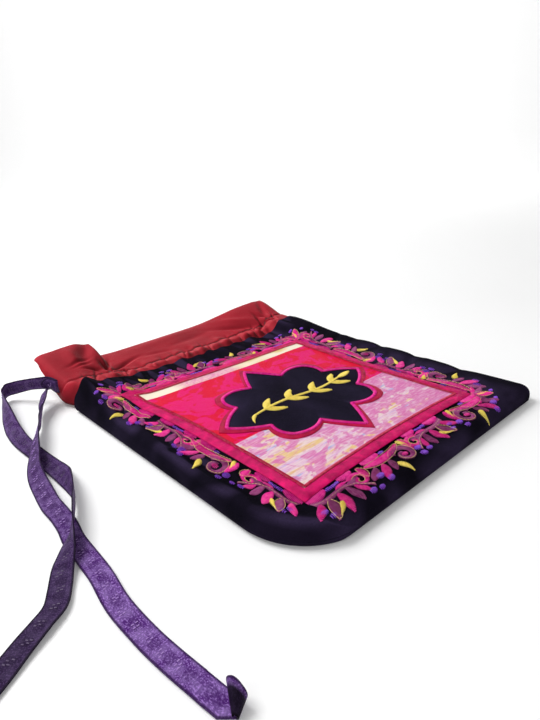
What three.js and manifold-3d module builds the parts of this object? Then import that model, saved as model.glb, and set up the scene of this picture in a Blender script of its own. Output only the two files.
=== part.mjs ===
// A flat velvet pouch with a raised satin collar, a ribbon drawstring and an applied square panel.
// Millimetres. X runs across the pouch, Y towards its mouth and Z up from the table that it lies on.
// The origin is on the table, under the middle of the velvet body.
import * as THREE from 'three';
import { mergeVertices } from 'three/addons/utils/BufferGeometryUtils.js';
import Module from 'manifold-3d';

const wasm = await Module();
wasm.setup();

// Clearance between pieces that touch, and the distance under which two points are one.
const GAP = 0.3;
const SAME_POINT = 1e-4;

// Velvet body.
const BODY_WIDTH = 244;
const BODY_LENGTH = 232;
const MOUTH_Y = 114;
const VELVET_WALL = 2;
const VELVET_HEIGHT = 13;
const SEAM_HEIGHT = 4;
const FRONT_ROLL = 12;
const BACK_ROLL = 5;
const LEFT_CORNER = 42;
const RIGHT_CORNER = 9;
const CORNER_SPREAD = 5;
const MOUTH_FADE = 62;
const VELVET_STEP = 13.4;
const CORNER_STEP = 8;
const BACK_STEP = 26;
const EDGE_SHARES = [0, 0.1, 0.32, 0.62, 1];

// Satin collar.
const COLLAR_LENGTH = 60;
const COLLAR_SPREAD = 2;
const COLLAR_PULL = 6;
const COLLAR_WALL = 1.2;
const COLLAR_TUCK = 8;
const COLLAR_LIFT = 33;
const CASING_WIDTH = 18;
const CASING_CREST = 0.45;
const DRAWSTRING_SHARE = 0.55;
const BACK_LIFT_SHARE = 0.8;
const COLLAR_ROLL = 7;
const BACK_LIE = 0.3;
const GATHER_PITCH = 15;
const GATHER_DEPTH = 0.8;
const GATHER_CREST = 0.6;
const GATHER_FADE = 0.5;
const COLLAR_STEP = 7.5;
const COLLAR_BACK_STEP = 12.75;
const HEM_ROWS = 4;

// Applied panel.
const PANEL_SIZE = 174;
const PANEL_X = -7.5;
const PANEL_RISE = -4.5;
const PANEL_BOW = 3;
const APPLIQUE_WALL = 1;
const FRAME_BAND = 8;
const FRAME_WALL = 1.4;
const STRIPE_WIDTH = 11;
const BROCADE_HEIGHT = 60;

// Medallion.
const MEDALLION_WIDTH = 130;
const MEDALLION_HEIGHT = 116;
const MEDALLION_X = -9;
const MEDALLION_RISE = -6;
const OUTLINE_BAND = 3.2;
const BORDER_BAND = 5;
const CURVE_PARTS = 4;
const SIDE_PARTS = 10;
const OUTLINE_WALL = 1.6;
const SPRIG_LENGTH = 84;
const SPRIG_WALL = 0.7;
const LEAF_LENGTH = 15;
const LEAF_WIDTH = 5;
const LEAF_BELLY = 0.45;
const LEAF_TURN = 46;
const LEAF_PAIRS = 4;
const STEM_WIDTH = 2;

// Ribbon.
const RIBBON_WIDTH = 11;
const RIBBON_THICK = 0.8;
const RUN_STEP = 19.5;
const LEVEL_LIMIT = 0.2;
const CURL_RADIUS = 4.8;
const CURL_TIP = 0.8;
const CURL_TURN = 230;
const CURL_PARTS = 9;

// Heights across the mouth: "across" is a share of half the body's width, "reach" a share of the
// collar's length, and the rest are shares of the collar's lift. "velvet" is the velvet's hem,
// "casing" and "stitch" the satin over and past the drawstring, "hem" and "back" its two hems.
const MOUTH = [
  { across: -1.04, velvet: 0.70, casing: 0.52, stitch: 0.50, hem: 0.84, back: 0.70, reach: 1.03 },
  { across: -0.93, velvet: 0.74, casing: 0.60, stitch: 0.55, hem: 0.86, back: 0.74, reach: 1.04 },
  { across: -0.83, velvet: 0.64, casing: 0.58, stitch: 0.55, hem: 0.89, back: 0.77, reach: 1.03 },
  { across: -0.73, velvet: 0.58, casing: 0.54, stitch: 0.50, hem: 0.94, back: 0.72, reach: 1.00 },
  { across: -0.65, velvet: 0.46, casing: 0.48, stitch: 0.46, hem: 0.90, back: 0.36, reach: 0.97 },
  { across: -0.59, velvet: 0.45, casing: 0.43, stitch: 0.37, hem: 0.47, back: 0.04, reach: 0.96 },
  { across: -0.42, velvet: 0.44, casing: 0.43, stitch: 0.35, hem: 0.45, back: 0.00, reach: 0.95 },
  { across: -0.19, velvet: 0.42, casing: 0.43, stitch: 0.36, hem: 0.45, back: 0.00, reach: 0.96 },
  { across: 0.05, velvet: 0.41, casing: 0.43, stitch: 0.36, hem: 0.47, back: 0.00, reach: 0.97 },
  { across: 0.28, velvet: 0.39, casing: 0.43, stitch: 0.37, hem: 0.50, back: 0.00, reach: 0.98 },
  { across: 0.47, velvet: 0.37, casing: 0.43, stitch: 0.39, hem: 0.60, back: 0.03, reach: 0.96 },
  { across: 0.63, velvet: 0.38, casing: 0.42, stitch: 0.44, hem: 0.73, back: 0.10, reach: 0.91 },
  { across: 0.76, velvet: 0.62, casing: 0.58, stitch: 0.58, hem: 0.80, back: 0.24, reach: 0.87 },
  { across: 0.88, velvet: 0.60, casing: 0.58, stitch: 0.60, hem: 0.84, back: 0.34, reach: 0.84 },
  { across: 1.04, velvet: 0.44, casing: 0.44, stitch: 0.50, hem: 0.66, back: 0.42, reach: 0.80 },
];

// Height of the side fold where the two satin layers meet: "along" is a share of the collar's
// length past the mouth, "left" and "right" are shares of the collar's lift.
const SIDE_FOLD = [
  { along: -0.20, left: 0.125, right: 0.125 },
  { along: 0.10, left: 0.125, right: 0.125 },
  { along: 0.30, left: 0.17, right: 0.18 },
  { along: 0.50, left: 0.28, right: 0.28 },
  { along: 0.75, left: 0.55, right: 0.40 },
  { along: 1.00, left: 0.75, right: 0.46 },
];

// Dents in the velvet, and one bulge of negative depth: "x" and "y" are shares of half its width
// and length, "wide" and "long" the dent's half sizes as shares of the same, and "depth" a share of
// its height.
const DENTS = [
  { x: -0.72, y: 0.62, wide: 0.22, long: 0.14, depth: 0.10 },
  { x: -0.10, y: 0.80, wide: 0.50, long: 0.14, depth: 0.07 },
  { x: 0.58, y: 0.86, wide: 0.12, long: 0.30, depth: 0.12 },
  { x: 0.86, y: 0.36, wide: 0.16, long: 0.07, depth: 0.12 },
  { x: 0.88, y: 0.08, wide: 0.16, long: 0.07, depth: 0.12 },
  { x: 0.86, y: -0.22, wide: 0.16, long: 0.08, depth: 0.12 },
  { x: 0.88, y: -0.55, wide: 0.14, long: 0.08, depth: 0.10 },
  { x: -0.86, y: -0.30, wide: 0.12, long: 0.20, depth: 0.08 },
  { x: 0.10, y: -0.90, wide: 0.45, long: 0.08, depth: 0.08 },
  { x: 0.88, y: -0.05, wide: 0.18, long: 1.10, depth: -0.25 },
];

// Panel corners, as shares of half the panel's size from its middle, anticlockwise.
const PANEL_CORNERS = [
  { across: -1.00, along: -1.00 },
  { across: 0.98, along: -1.00 },
  { across: 0.98, along: 0.98 },
  { across: -1.05, along: 1.06 },
];

// One quarter of the medallion, from a side point to the top point: the ends of its curves and the
// bulge of each curve, as shares of half its width and half its height.
const QUARTER = [
  { x: 1.00, y: 0.00, bulgeX: 1.00, bulgeY: 0.00 },
  { x: 0.66, y: 0.29, bulgeX: 0.86, bulgeY: 0.20 },
  { x: 0.62, y: 0.60, bulgeX: 0.73, bulgeY: 0.46 },
  { x: 0.24, y: 0.58, bulgeX: 0.44, bulgeY: 0.72 },
  { x: 0.00, y: 1.00, bulgeX: 0.12, bulgeY: 0.84 },
];

// Routes of the two ribbon tails, from the hole in the casing: the middle of the ribbon, and its
// roll about its own length, in degrees, nought where it lies flat.
const TAIL_A = [
  { x: -124.2, y: 134, z: 15.5, roll: 88 },
  { x: -126.5, y: 144, z: 16, roll: 84 },
  { x: -131, y: 150, z: 15.5, roll: 75 },
  { x: -138, y: 158, z: 14, roll: 70 },
  { x: -145, y: 167, z: 11, roll: 75 },
  { x: -150, y: 171, z: 9, roll: 80 },
  { x: -155, y: 167, z: 7.5, roll: 85 },
  { x: -158, y: 157, z: 7, roll: 75 },
  { x: -161, y: 144, z: 6, roll: 60 },
  { x: -164, y: 130, z: 4.5, roll: 42 },
  { x: -167, y: 113, z: 3.2, roll: 25 },
  { x: -168, y: 96, z: 1.8, roll: 8 },
  { x: -167, y: 76, z: 1.2, roll: 2 },
  { x: -166, y: 55, z: 1.6, roll: 8 },
  { x: -166, y: 38, z: 3.4, roll: 30 },
  { x: -168, y: 23, z: 5.6, roll: 62 },
  { x: -171, y: 10, z: 6.6, roll: 84 },
  { x: -176, y: -1, z: 7.6, roll: 88 },
  { x: -181, y: -11, z: 7.8, roll: 84 },
  { x: -187, y: -21, z: 6.8, roll: 64 },
  { x: -193, y: -29, z: 4.2, roll: 34 },
  { x: -199, y: -37, z: 2.2, roll: 14 },
  { x: -205, y: -47, z: 1.2, roll: 4 },
  { x: -211, y: -56, z: 1.4, roll: 6 },
  { x: -219, y: -61, z: 1.6, roll: 8 },
  { x: -230, y: -67, z: 1.2, roll: 4 },
  { x: -240, y: -73, z: 1.0, roll: 0 },
  { x: -249, y: -78, z: 1.0, roll: 0 },
];
const TAIL_B = [
  { x: -126, y: 132.5, z: 16.5, roll: 86 },
  { x: -128.6, y: 138, z: 17.5, roll: 80 },
  { x: -131.5, y: 139.5, z: 14, roll: 50 },
  { x: -136.5, y: 134, z: 10, roll: 50 },
  { x: -141, y: 126, z: 7.4, roll: 62 },
  { x: -146, y: 116, z: 6.8, roll: 82 },
  { x: -151, y: 106, z: 7, roll: 85 },
  { x: -158, y: 93, z: 7.8, roll: 66 },
  { x: -165, y: 79, z: 7.8, roll: 54 },
  { x: -171, y: 65, z: 6.6, roll: 45 },
  { x: -176, y: 54, z: 4.6, roll: 38 },
  { x: -179, y: 42, z: 3.4, roll: 30 },
  { x: -181, y: 29, z: 2.8, roll: 20 },
  { x: -183, y: 14, z: 2.4, roll: 14 },
  { x: -183, y: 2, z: 1.6, roll: 8 },
  { x: -184, y: -9, z: 1, roll: 0 },
  { x: -186, y: -20, z: 0.8, roll: 0 },
  { x: -187, y: -36, z: 0.8, roll: 0 },
  { x: -188, y: -52, z: 0.9, roll: 0 },
  { x: -191, y: -74, z: 1, roll: 2 },
  { x: -191, y: -97, z: 0.9, roll: 0 },
  { x: -190, y: -112, z: 1, roll: 2 },
  { x: -188.3, y: -127, z: 1, roll: 0 },
];

// The flat part of a tail's cut end: how far its two edges run on from the tail and out from its
// middle, as shares of the ribbon's width. Past the last row the end curls up and back.
const CUT_END = [
  { leftAlong: 0, leftOut: -0.5, rightAlong: 0, rightOut: 0.5 },
  { leftAlong: 0.7, leftOut: -0.5, rightAlong: 0.4, rightOut: 0.5 },
  { leftAlong: 1.4, leftOut: -0.48, rightAlong: 0.8, rightOut: 0.5 },
  { leftAlong: 1.86, leftOut: -0.1, rightAlong: 1.38, rightOut: 0.5 },
];

// A smooth curve through rows of a table that never swings past its own values.
function alongTable(rows, key, name, at) {
  const last = rows.length - 1;
  if (at <= rows[0][key]) return rows[0][name];
  if (at >= rows[last][key]) return rows[last][name];
  const slope = (i) => (rows[i + 1][name] - rows[i][name]) / (rows[i + 1][key] - rows[i][key]);
  const tangent = (i) => {
    if (i === 0 || i === last || slope(i - 1) * slope(i) <= 0) return 0;
    return 2 / (1 / slope(i - 1) + 1 / slope(i));
  };
  let i = 0;
  while (at > rows[i + 1][key]) i += 1;
  const span = rows[i + 1][key] - rows[i][key];
  const t = (at - rows[i][key]) / span;
  const rise = rows[i + 1][name] - rows[i][name];
  const ease = t * t * (3 - 2 * t);
  const lead = t * (1 - t) * (1 - t) * span * tangent(i);
  const trail = t * t * (1 - t) * span * tangent(i + 1);
  return rows[i][name] + rise * ease + lead - trail;
}

function mouthShare(name, x) {
  return alongTable(MOUTH, 'across', name, x / (BODY_WIDTH / 2));
}

function smooth(t) {
  const k = Math.min(Math.max(t, 0), 1);
  return k * k * (3 - 2 * k);
}

// Height share of a padded edge that rolls over within one radius.
function roll(distance, radius) {
  const t = 1 - Math.min(Math.max(distance / radius, 0), 1);
  return Math.sqrt(1 - t * t);
}

// Places from one end to the other, through each named place, no further apart than a step.
function placesThrough(marks, step) {
  const places = [marks[0]];
  for (let i = 1; i < marks.length; i += 1) {
    const parts = Math.max(1, Math.round((marks[i] - marks[i - 1]) / step));
    for (let k = 1; k <= parts; k += 1) {
      places.push(marks[i - 1] + ((marks[i] - marks[i - 1]) * k) / parts);
    }
  }
  return places;
}

// Distances in from a rolled edge, closer together where it turns fastest.
function edgePlaces(radius) {
  return EDGE_SHARES.map((share) => share * radius);
}

// A closed mesh from quads given as vertex numbers.
function closedGeometry(vertices, faces) {
  const geometry = new THREE.BufferGeometry();
  const positions = new Float32Array(vertices.flatMap((v) => [v.x, v.y, v.z]));
  geometry.setAttribute('position', new THREE.BufferAttribute(positions, 3));
  geometry.setIndex(faces.flatMap(([a, b, c, d]) => [a, b, c, a, c, d]));
  return geometry;
}

// A wall between two grids of points, top over bottom, rows running towards +Y and columns to +X.
function sheet(top, bottom) {
  const rows = top.length;
  const columns = top[0].length;
  const vertices = [...top.flat(), ...bottom.flat()];
  const over = (r, c) => r * columns + c;
  const under = (r, c) => rows * columns + r * columns + c;
  const faces = [];
  for (let r = 0; r < rows - 1; r += 1) {
    for (let c = 0; c < columns - 1; c += 1) {
      faces.push([over(r, c), over(r, c + 1), over(r + 1, c + 1), over(r + 1, c)]);
      faces.push([under(r, c), under(r + 1, c), under(r + 1, c + 1), under(r, c + 1)]);
    }
  }
  for (let c = 0; c < columns - 1; c += 1) {
    faces.push([under(0, c), under(0, c + 1), over(0, c + 1), over(0, c)]);
    faces.push([over(rows - 1, c), over(rows - 1, c + 1), under(rows - 1, c + 1), under(rows - 1, c)]);
  }
  for (let r = 0; r < rows - 1; r += 1) {
    faces.push([over(r, 0), over(r + 1, 0), under(r + 1, 0), under(r, 0)]);
    const c = columns - 1;
    faces.push([under(r, c), under(r + 1, c), over(r + 1, c), over(r, c)]);
  }
  return closedGeometry(vertices, faces);
}

function toSolid(geometry) {
  const bare = geometry.clone();
  bare.deleteAttribute('normal');
  bare.deleteAttribute('uv');
  const merged = mergeVertices(bare, SAME_POINT);
  const mesh = new wasm.Mesh({
    numProp: 3,
    vertProperties: new Float32Array(merged.attributes.position.array),
    triVerts: new Uint32Array(merged.index.array),
  });
  return new wasm.Manifold(mesh);
}

function fromSolid(solid) {
  const mesh = solid.getMesh();
  const geometry = new THREE.BufferGeometry();
  const positions = new Float32Array(mesh.vertProperties);
  geometry.setAttribute('position', new THREE.BufferAttribute(positions, 3));
  geometry.setIndex(new THREE.BufferAttribute(new Uint32Array(mesh.triVerts), 1));
  return geometry;
}

function piece(name, geometry, colour, roughness, metalness = 0) {
  const material = new THREE.MeshStandardMaterial({ color: colour, roughness, metalness });
  const mesh = new THREE.Mesh(geometry, material);
  mesh.name = name;
  return mesh;
}

// Body outline, and the heights up it of the panel's and the medallion's middles.
const bottomY = MOUTH_Y - BODY_LENGTH;
const middleY = MOUTH_Y - BODY_LENGTH / 2;
const panelY = middleY + PANEL_RISE;
const medallionY = middleY + MEDALLION_RISE;

function cornerInset(rise, radius) {
  if (rise >= radius) return 0;
  return radius - Math.sqrt(radius * radius - (radius - rise) * (radius - rise));
}

// Left and right limits of the body at one height up its length, with a wall taken off.
function bodyLimits(y, inset) {
  const rise = y - bottomY - inset;
  const spread = CORNER_SPREAD * (1 - smooth(rise / MOUTH_FADE));
  const left = -BODY_WIDTH / 2 + inset + cornerInset(rise, LEFT_CORNER - inset);
  const right = BODY_WIDTH / 2 + spread - inset - cornerInset(rise, RIGHT_CORNER - inset);
  return { left, right };
}

// Outer height of the velvet front away from its rolled edges.
function velvetCrown(x, y) {
  const hem = mouthShare('velvet', x) * COLLAR_LIFT;
  const near = smooth(1 - (MOUTH_Y - y) / MOUTH_FADE);
  let height = VELVET_HEIGHT + (hem - VELVET_HEIGHT) * near;
  DENTS.forEach((dent) => {
    const across = (x - (dent.x * BODY_WIDTH) / 2) / ((dent.wide * BODY_WIDTH) / 2);
    const along = (y - middleY - (dent.y * BODY_LENGTH) / 2) / ((dent.long * BODY_LENGTH) / 2);
    height -= dent.depth * VELVET_HEIGHT * Math.exp(-(across * across + along * along));
  });
  return height;
}

// Distances of the rows up from the bottom edge.
const cornerRows = placesThrough([FRONT_ROLL, LEFT_CORNER], CORNER_STEP);
const bodyRows = placesThrough([LEFT_CORNER, BODY_LENGTH], VELVET_STEP);
const velvetRows = [...edgePlaces(FRONT_ROLL).slice(0, -1), ...cornerRows.slice(0, -1), ...bodyRows];

// Places across the body, as shares of its width at that row.
function acrossShares(radius, step) {
  const edges = edgePlaces(radius).map((d) => d / BODY_WIDTH);
  const middle = placesThrough([radius, BODY_WIDTH - radius], step);
  const right = edges.slice(0, -1).reverse().map((share) => 1 - share);
  return [...edges.slice(0, -1), ...middle.map((d) => d / BODY_WIDTH), ...right];
}

const velvetShares = acrossShares(FRONT_ROLL, VELVET_STEP);

// Grid of one face of the velvet front: its outer face, its inner face one wall in, or a face
// lifted over it.
function frontGrid(inset, lift) {
  const radius = FRONT_ROLL - inset;
  const foot = SEAM_HEIGHT + GAP / 2;
  return velvetRows.map((distance) => {
    const y = bottomY + inset + (distance * (BODY_LENGTH - inset)) / BODY_LENGTH;
    const limits = bodyLimits(y, inset);
    return velvetShares.map((share) => {
      const x = THREE.MathUtils.lerp(limits.left, limits.right, share);
      const side = Math.min(share, 1 - share) * BODY_WIDTH * (radius / FRONT_ROLL);
      const end = distance * (radius / FRONT_ROLL);
      const crown = velvetCrown(x, y) - inset - foot;
      return new THREE.Vector3(x, y, foot + crown * roll(Math.min(side, end), radius) + lift);
    });
  });
}

const outerFace = frontGrid(0, 0);
const innerFace = frontGrid(VELVET_WALL, 0);

// The back lies flat on the table and turns up to the seam all round.
function velvetBack() {
  const top = SEAM_HEIGHT - GAP / 2;
  const rows = [...edgePlaces(BACK_ROLL).slice(0, -1), ...placesThrough([BACK_ROLL, BODY_LENGTH], BACK_STEP)];
  const shares = acrossShares(BACK_ROLL, BACK_STEP);
  const face = (inset, lie) => rows.map((distance) => {
    const y = bottomY + inset + (distance * (BODY_LENGTH - inset)) / BODY_LENGTH;
    const limits = bodyLimits(y, inset);
    return shares.map((share) => {
      const x = THREE.MathUtils.lerp(limits.left, limits.right, share);
      const edge = Math.min(Math.min(share, 1 - share) * BODY_WIDTH, distance);
      return new THREE.Vector3(x, y, top - (top - lie) * roll(edge, BACK_ROLL));
    });
  });
  return sheet(face(VELVET_WALL, VELVET_WALL), face(0, 0));
}

// Height of a grid's own flat facets at one place.
function heightOn(grid, x, y) {
  const r = THREE.MathUtils.clamp(grid.findIndex((row) => row[0].y >= y), 1, grid.length - 1);
  const [low, high] = [grid[r - 1], grid[r]];
  const found = low.findIndex((point) => point.x >= x);
  const c = found < 1 ? low.length - 1 : found;
  const u = THREE.MathUtils.clamp((x - low[c - 1].x) / (low[c].x - low[c - 1].x), 0, 1);
  const v = THREE.MathUtils.clamp((y - low[0].y) / (high[0].y - low[0].y), 0, 1);
  if (u > v) return low[c - 1].z + (low[c].z - low[c - 1].z) * u + (high[c].z - low[c].z) * v;
  return low[c - 1].z + (high[c].z - high[c - 1].z) * u + (high[c - 1].z - low[c - 1].z) * v;
}

// Satin collar: limits, side folds and heights of its two layers.
const tuckY = MOUTH_Y - COLLAR_TUCK;
const clearOfVelvet = BODY_WIDTH / 2 - VELVET_WALL * 2;

// The collar spreads past the body on the left and is drawn in on the right.
function collarLimit(side, y) {
  const past = side < 0 ? COLLAR_SPREAD : -COLLAR_PULL;
  return clearOfVelvet + (BODY_WIDTH / 2 + past - clearOfVelvet) * smooth((y - MOUTH_Y) / CASING_WIDTH);
}

function sideFold(x, y) {
  const side = x < 0 ? 'left' : 'right';
  return alongTable(SIDE_FOLD, 'along', side, (y - MOUTH_Y) / COLLAR_LENGTH) * COLLAR_LIFT;
}

function gathers(x, y) {
  const along = (y - MOUTH_Y) / CASING_WIDTH;
  const fade = Math.exp(-((along - GATHER_CREST) ** 2) / GATHER_FADE);
  return GATHER_DEPTH * fade * Math.sin((2 * Math.PI * x) / GATHER_PITCH);
}

function frontCrown(x, y) {
  const tucked = heightOn(innerFace, x, Math.min(y, MOUTH_Y)) - GAP * 2.5;
  const stations = [
    { y: tuckY, z: tucked },
    { y: MOUTH_Y, z: tucked },
    { y: MOUTH_Y + CASING_WIDTH * CASING_CREST, z: mouthShare('casing', x) * COLLAR_LIFT },
    { y: MOUTH_Y + CASING_WIDTH, z: mouthShare('stitch', x) * COLLAR_LIFT },
    { y: MOUTH_Y + COLLAR_LENGTH * mouthShare('reach', x), z: mouthShare('hem', x) * COLLAR_LIFT },
  ];
  const loose = smooth((y - MOUTH_Y) / (CASING_WIDTH / 3));
  return alongTable(stations, 'y', 'z', y) + loose * gathers(x, y);
}

function backLie(x, y) {
  const inside = VELVET_WALL + GAP;
  const lie = inside + (BACK_LIE - inside) * smooth((y - MOUTH_Y - GAP) / (CASING_WIDTH / 2));
  const lifted = smooth((y - MOUTH_Y - CASING_WIDTH * BACK_LIFT_SHARE) / (COLLAR_LENGTH - CASING_WIDTH));
  return lie + mouthShare('back', x) * COLLAR_LIFT * lifted;
}

// Rows of the collar: a distance past the mouth, then a share of the way on to the hem.
const casingShares = [0, CASING_CREST / 2, CASING_CREST, (1 + CASING_CREST) / 2, 1];
const collarRows = [
  { past: -COLLAR_TUCK, hemward: 0 },
  ...casingShares.map((share) => ({ past: CASING_WIDTH * share, hemward: 0 })),
  ...placesThrough([1 / HEM_ROWS, 1], 1 / HEM_ROWS).map((hemward) => ({ past: CASING_WIDTH, hemward })),
];

// Columns of the collar, as shares of its half width, closer at the side folds.
function collarColumns(step) {
  const edges = edgePlaces(COLLAR_ROLL).slice(0, -1).map((d) => d / (BODY_WIDTH / 2));
  const inner = 1 - COLLAR_ROLL / (BODY_WIDTH / 2);
  const marks = MOUTH.map((row) => row.across).filter((share) => Math.abs(share) < inner);
  const middle = placesThrough([-inner, ...marks, inner], step / (BODY_WIDTH / 2));
  return [...edges.map((e) => e - 1), ...middle, ...edges.reverse().map((e) => 1 - e)];
}

// One satin layer, from the height of its lower face.
function collarLayer(step, heightAt) {
  const columns = collarColumns(step);
  const face = (offset) => collarRows.map((row) => columns.map((share) => {
    const reach = COLLAR_LENGTH * mouthShare('reach', (share * BODY_WIDTH) / 2);
    const y = MOUTH_Y + row.past + (reach - CASING_WIDTH) * row.hemward;
    const x = share * collarLimit(share, y);
    const edge = (1 - Math.abs(share)) * (BODY_WIDTH / 2);
    return new THREE.Vector3(x, y, heightAt(x, y, edge) + offset);
  }));
  return sheet(face(COLLAR_WALL), face(0));
}

function collarFront() {
  return collarLayer(COLLAR_STEP, (x, y, edge) => {
    const foot = sideFold(x, y) + GAP / 2;
    return foot + (frontCrown(x, y) - COLLAR_WALL - foot) * roll(edge, COLLAR_ROLL);
  });
}

function collarBack() {
  return collarLayer(COLLAR_BACK_STEP, (x, y, edge) => {
    const top = sideFold(x, y) - GAP / 2 - COLLAR_WALL;
    return top + (backLie(x, y) - top) * roll(edge, COLLAR_ROLL);
  });
}

// A layer of cloth that follows the velvet front, between two heights over it.
function clothLayer(low, high) {
  return toSolid(sheet(frontGrid(0, high), frontGrid(0, low)));
}

// Cuts a flat outline out of a layer over the velvet.
function cutFromLayer(shape, layer, parts = CURVE_PARTS) {
  const settings = { depth: COLLAR_LIFT, bevelEnabled: false, curveSegments: parts };
  return toSolid(new THREE.ExtrudeGeometry(shape, settings)).intersect(layer);
}

// A closed band between two outlines with as many points, lying over the velvet front.
function band(outer, inner, wall) {
  const rings = outer.map((point, i) => {
    const within = inner[i];
    const base = [point, within].map((p) => heightOn(outerFace, p.x, p.y) + GAP);
    return [
      new THREE.Vector3(point.x, point.y, base[0]),
      new THREE.Vector3(point.x, point.y, base[0] + wall),
      new THREE.Vector3(within.x, within.y, base[1] + wall),
      new THREE.Vector3(within.x, within.y, base[1]),
    ];
  });
  const faces = [];
  const size = rings[0].length;
  for (let i = 0; i < rings.length; i += 1) {
    const next = (i + 1) % rings.length;
    for (let k = 0; k < size; k += 1) {
      const step = (k + 1) % size;
      faces.push([i * size + k, next * size + k, next * size + step, i * size + step]);
    }
  }
  return closedGeometry(rings.flat(), faces);
}

// Points once round an outline, without the repeated last one.
function outlinePoints(shape, divisions) {
  const points = shape.getPoints(divisions);
  return points.at(-1).distanceTo(points[0]) < GAP / 10 ? points.slice(0, -1) : points;
}

// Corner of the panel a given distance inside its edge.
function panelPoint(index, inset) {
  const corner = PANEL_CORNERS[index % PANEL_CORNERS.length];
  const half = PANEL_SIZE / 2;
  const x = PANEL_X + corner.across * half - Math.sign(corner.across) * inset;
  const y = panelY + corner.along * half - Math.sign(corner.along) * inset;
  return new THREE.Vector2(x, y);
}

// Panel outline, with each side bowed a little inwards.
function panelShape(inset) {
  const shape = new THREE.Shape();
  const centre = new THREE.Vector2(PANEL_X, panelY);
  const start = panelPoint(0, inset);
  shape.moveTo(start.x, start.y);
  PANEL_CORNERS.forEach((corner, index) => {
    const from = panelPoint(index, inset);
    const to = panelPoint(index + 1, inset);
    const middle = from.clone().add(to).multiplyScalar(0.5);
    const inward = centre.clone().sub(middle).normalize().multiplyScalar(PANEL_BOW * 2);
    const bend = middle.add(inward);
    shape.quadraticCurveTo(bend.x, bend.y, to.x, to.y);
  });
  return shape;
}

// An outline past both sides of the panel, from the body's bottom edge up to a height.
function belowShape(high) {
  const shape = new THREE.Shape();
  shape.moveTo(PANEL_X - PANEL_SIZE, bottomY);
  shape.lineTo(PANEL_X + PANEL_SIZE, bottomY);
  shape.lineTo(PANEL_X + PANEL_SIZE, high);
  shape.lineTo(PANEL_X - PANEL_SIZE, high);
  shape.closePath();
  return shape;
}

// The stripe follows the panel's top edge at its own width.
function stripeCutShape(depth) {
  const left = panelPoint(3, FRAME_BAND);
  const right = panelPoint(2, FRAME_BAND);
  const shape = new THREE.Shape();
  shape.moveTo(PANEL_X - PANEL_SIZE, left.y - depth);
  shape.lineTo(left.x, left.y - depth);
  const middle = (left.y + right.y) / 2 - depth - PANEL_BOW * 2;
  shape.quadraticCurveTo(PANEL_X, middle, right.x, right.y - depth);
  shape.lineTo(PANEL_X + PANEL_SIZE, right.y - depth);
  shape.lineTo(PANEL_X + PANEL_SIZE, MOUTH_Y + BODY_LENGTH);
  shape.lineTo(PANEL_X - PANEL_SIZE, MOUTH_Y + BODY_LENGTH);
  shape.closePath();
  return shape;
}

// Medallion outline grown by a margin all round.
function medallionShape(margin) {
  const halfX = MEDALLION_WIDTH / 2 + margin;
  const halfY = MEDALLION_HEIGHT / 2 + margin;
  const path = [];
  const turns = [[1, 1, false], [-1, 1, true], [-1, -1, false], [1, -1, true]];
  turns.forEach(([signX, signY, reversed]) => {
    const centre = new THREE.Vector2(MEDALLION_X, medallionY);
    const place = (x, y) => new THREE.Vector2(signX * x * halfX, signY * y * halfY).add(centre);
    for (let k = 1; k < QUARTER.length; k += 1) {
      const i = reversed ? QUARTER.length - k : k;
      const end = reversed ? QUARTER[i - 1] : QUARTER[i];
      path.push({ bend: place(QUARTER[i].bulgeX, QUARTER[i].bulgeY), end: place(end.x, end.y) });
    }
  });
  const shape = new THREE.Shape();
  const start = path.at(-1).end;
  shape.moveTo(start.x, start.y);
  path.forEach(({ bend, end }) => shape.quadraticCurveTo(bend.x, bend.y, end.x, end.y));
  return shape;
}

// A leaf outline from its foot, turned to a direction.
function leafShape(foot, turn, length, width) {
  const middle = new THREE.Vector2();
  const place = (along, across) => new THREE.Vector2(along, across).rotateAround(middle, turn).add(foot);
  const tip = place(length, 0);
  const over = place(length * LEAF_BELLY, width);
  const below = place(length * LEAF_BELLY, -width);
  const shape = new THREE.Shape();
  shape.moveTo(foot.x, foot.y);
  shape.quadraticCurveTo(below.x, below.y, tip.x, tip.y);
  shape.quadraticCurveTo(over.x, over.y, foot.x, foot.y);
  return shape;
}

// The sprig's stem waves along the medallion.
function stemPoint(t) {
  const rise = (LEAF_WIDTH / 2) * Math.sin(t * Math.PI * 2);
  return new THREE.Vector2(MEDALLION_X + SPRIG_LENGTH * (t - 0.5), medallionY + rise);
}

function stemShape() {
  const steps = LEAF_PAIRS * 3;
  const half = STEM_WIDTH / 2;
  const upper = [];
  const lower = [];
  for (let i = 0; i <= steps; i += 1) {
    const point = stemPoint(i / steps);
    upper.push(new THREE.Vector2(point.x, point.y + half));
    lower.unshift(new THREE.Vector2(point.x, point.y - half));
  }
  return new THREE.Shape([...lower.reverse(), ...upper.reverse()]);
}

function goldSprig() {
  const low = APPLIQUE_WALL + 2 * GAP;
  const layer = clothLayer(low, low + SPRIG_WALL);
  let sprig = cutFromLayer(stemShape(), layer);
  for (let i = 0; i < LEAF_PAIRS; i += 1) {
    const foot = stemPoint((i + 0.5) / LEAF_PAIRS);
    [1, -1].forEach((side) => {
      const leaf = leafShape(foot, side * THREE.MathUtils.degToRad(LEAF_TURN), LEAF_LENGTH, LEAF_WIDTH);
      sprig = sprig.add(cutFromLayer(leaf, layer));
    });
  }
  const end = leafShape(stemPoint(1 - STEM_WIDTH / SPRIG_LENGTH), 0, LEAF_LENGTH, LEAF_WIDTH);
  return fromSolid(sprig.add(cutFromLayer(end, layer)));
}

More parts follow.
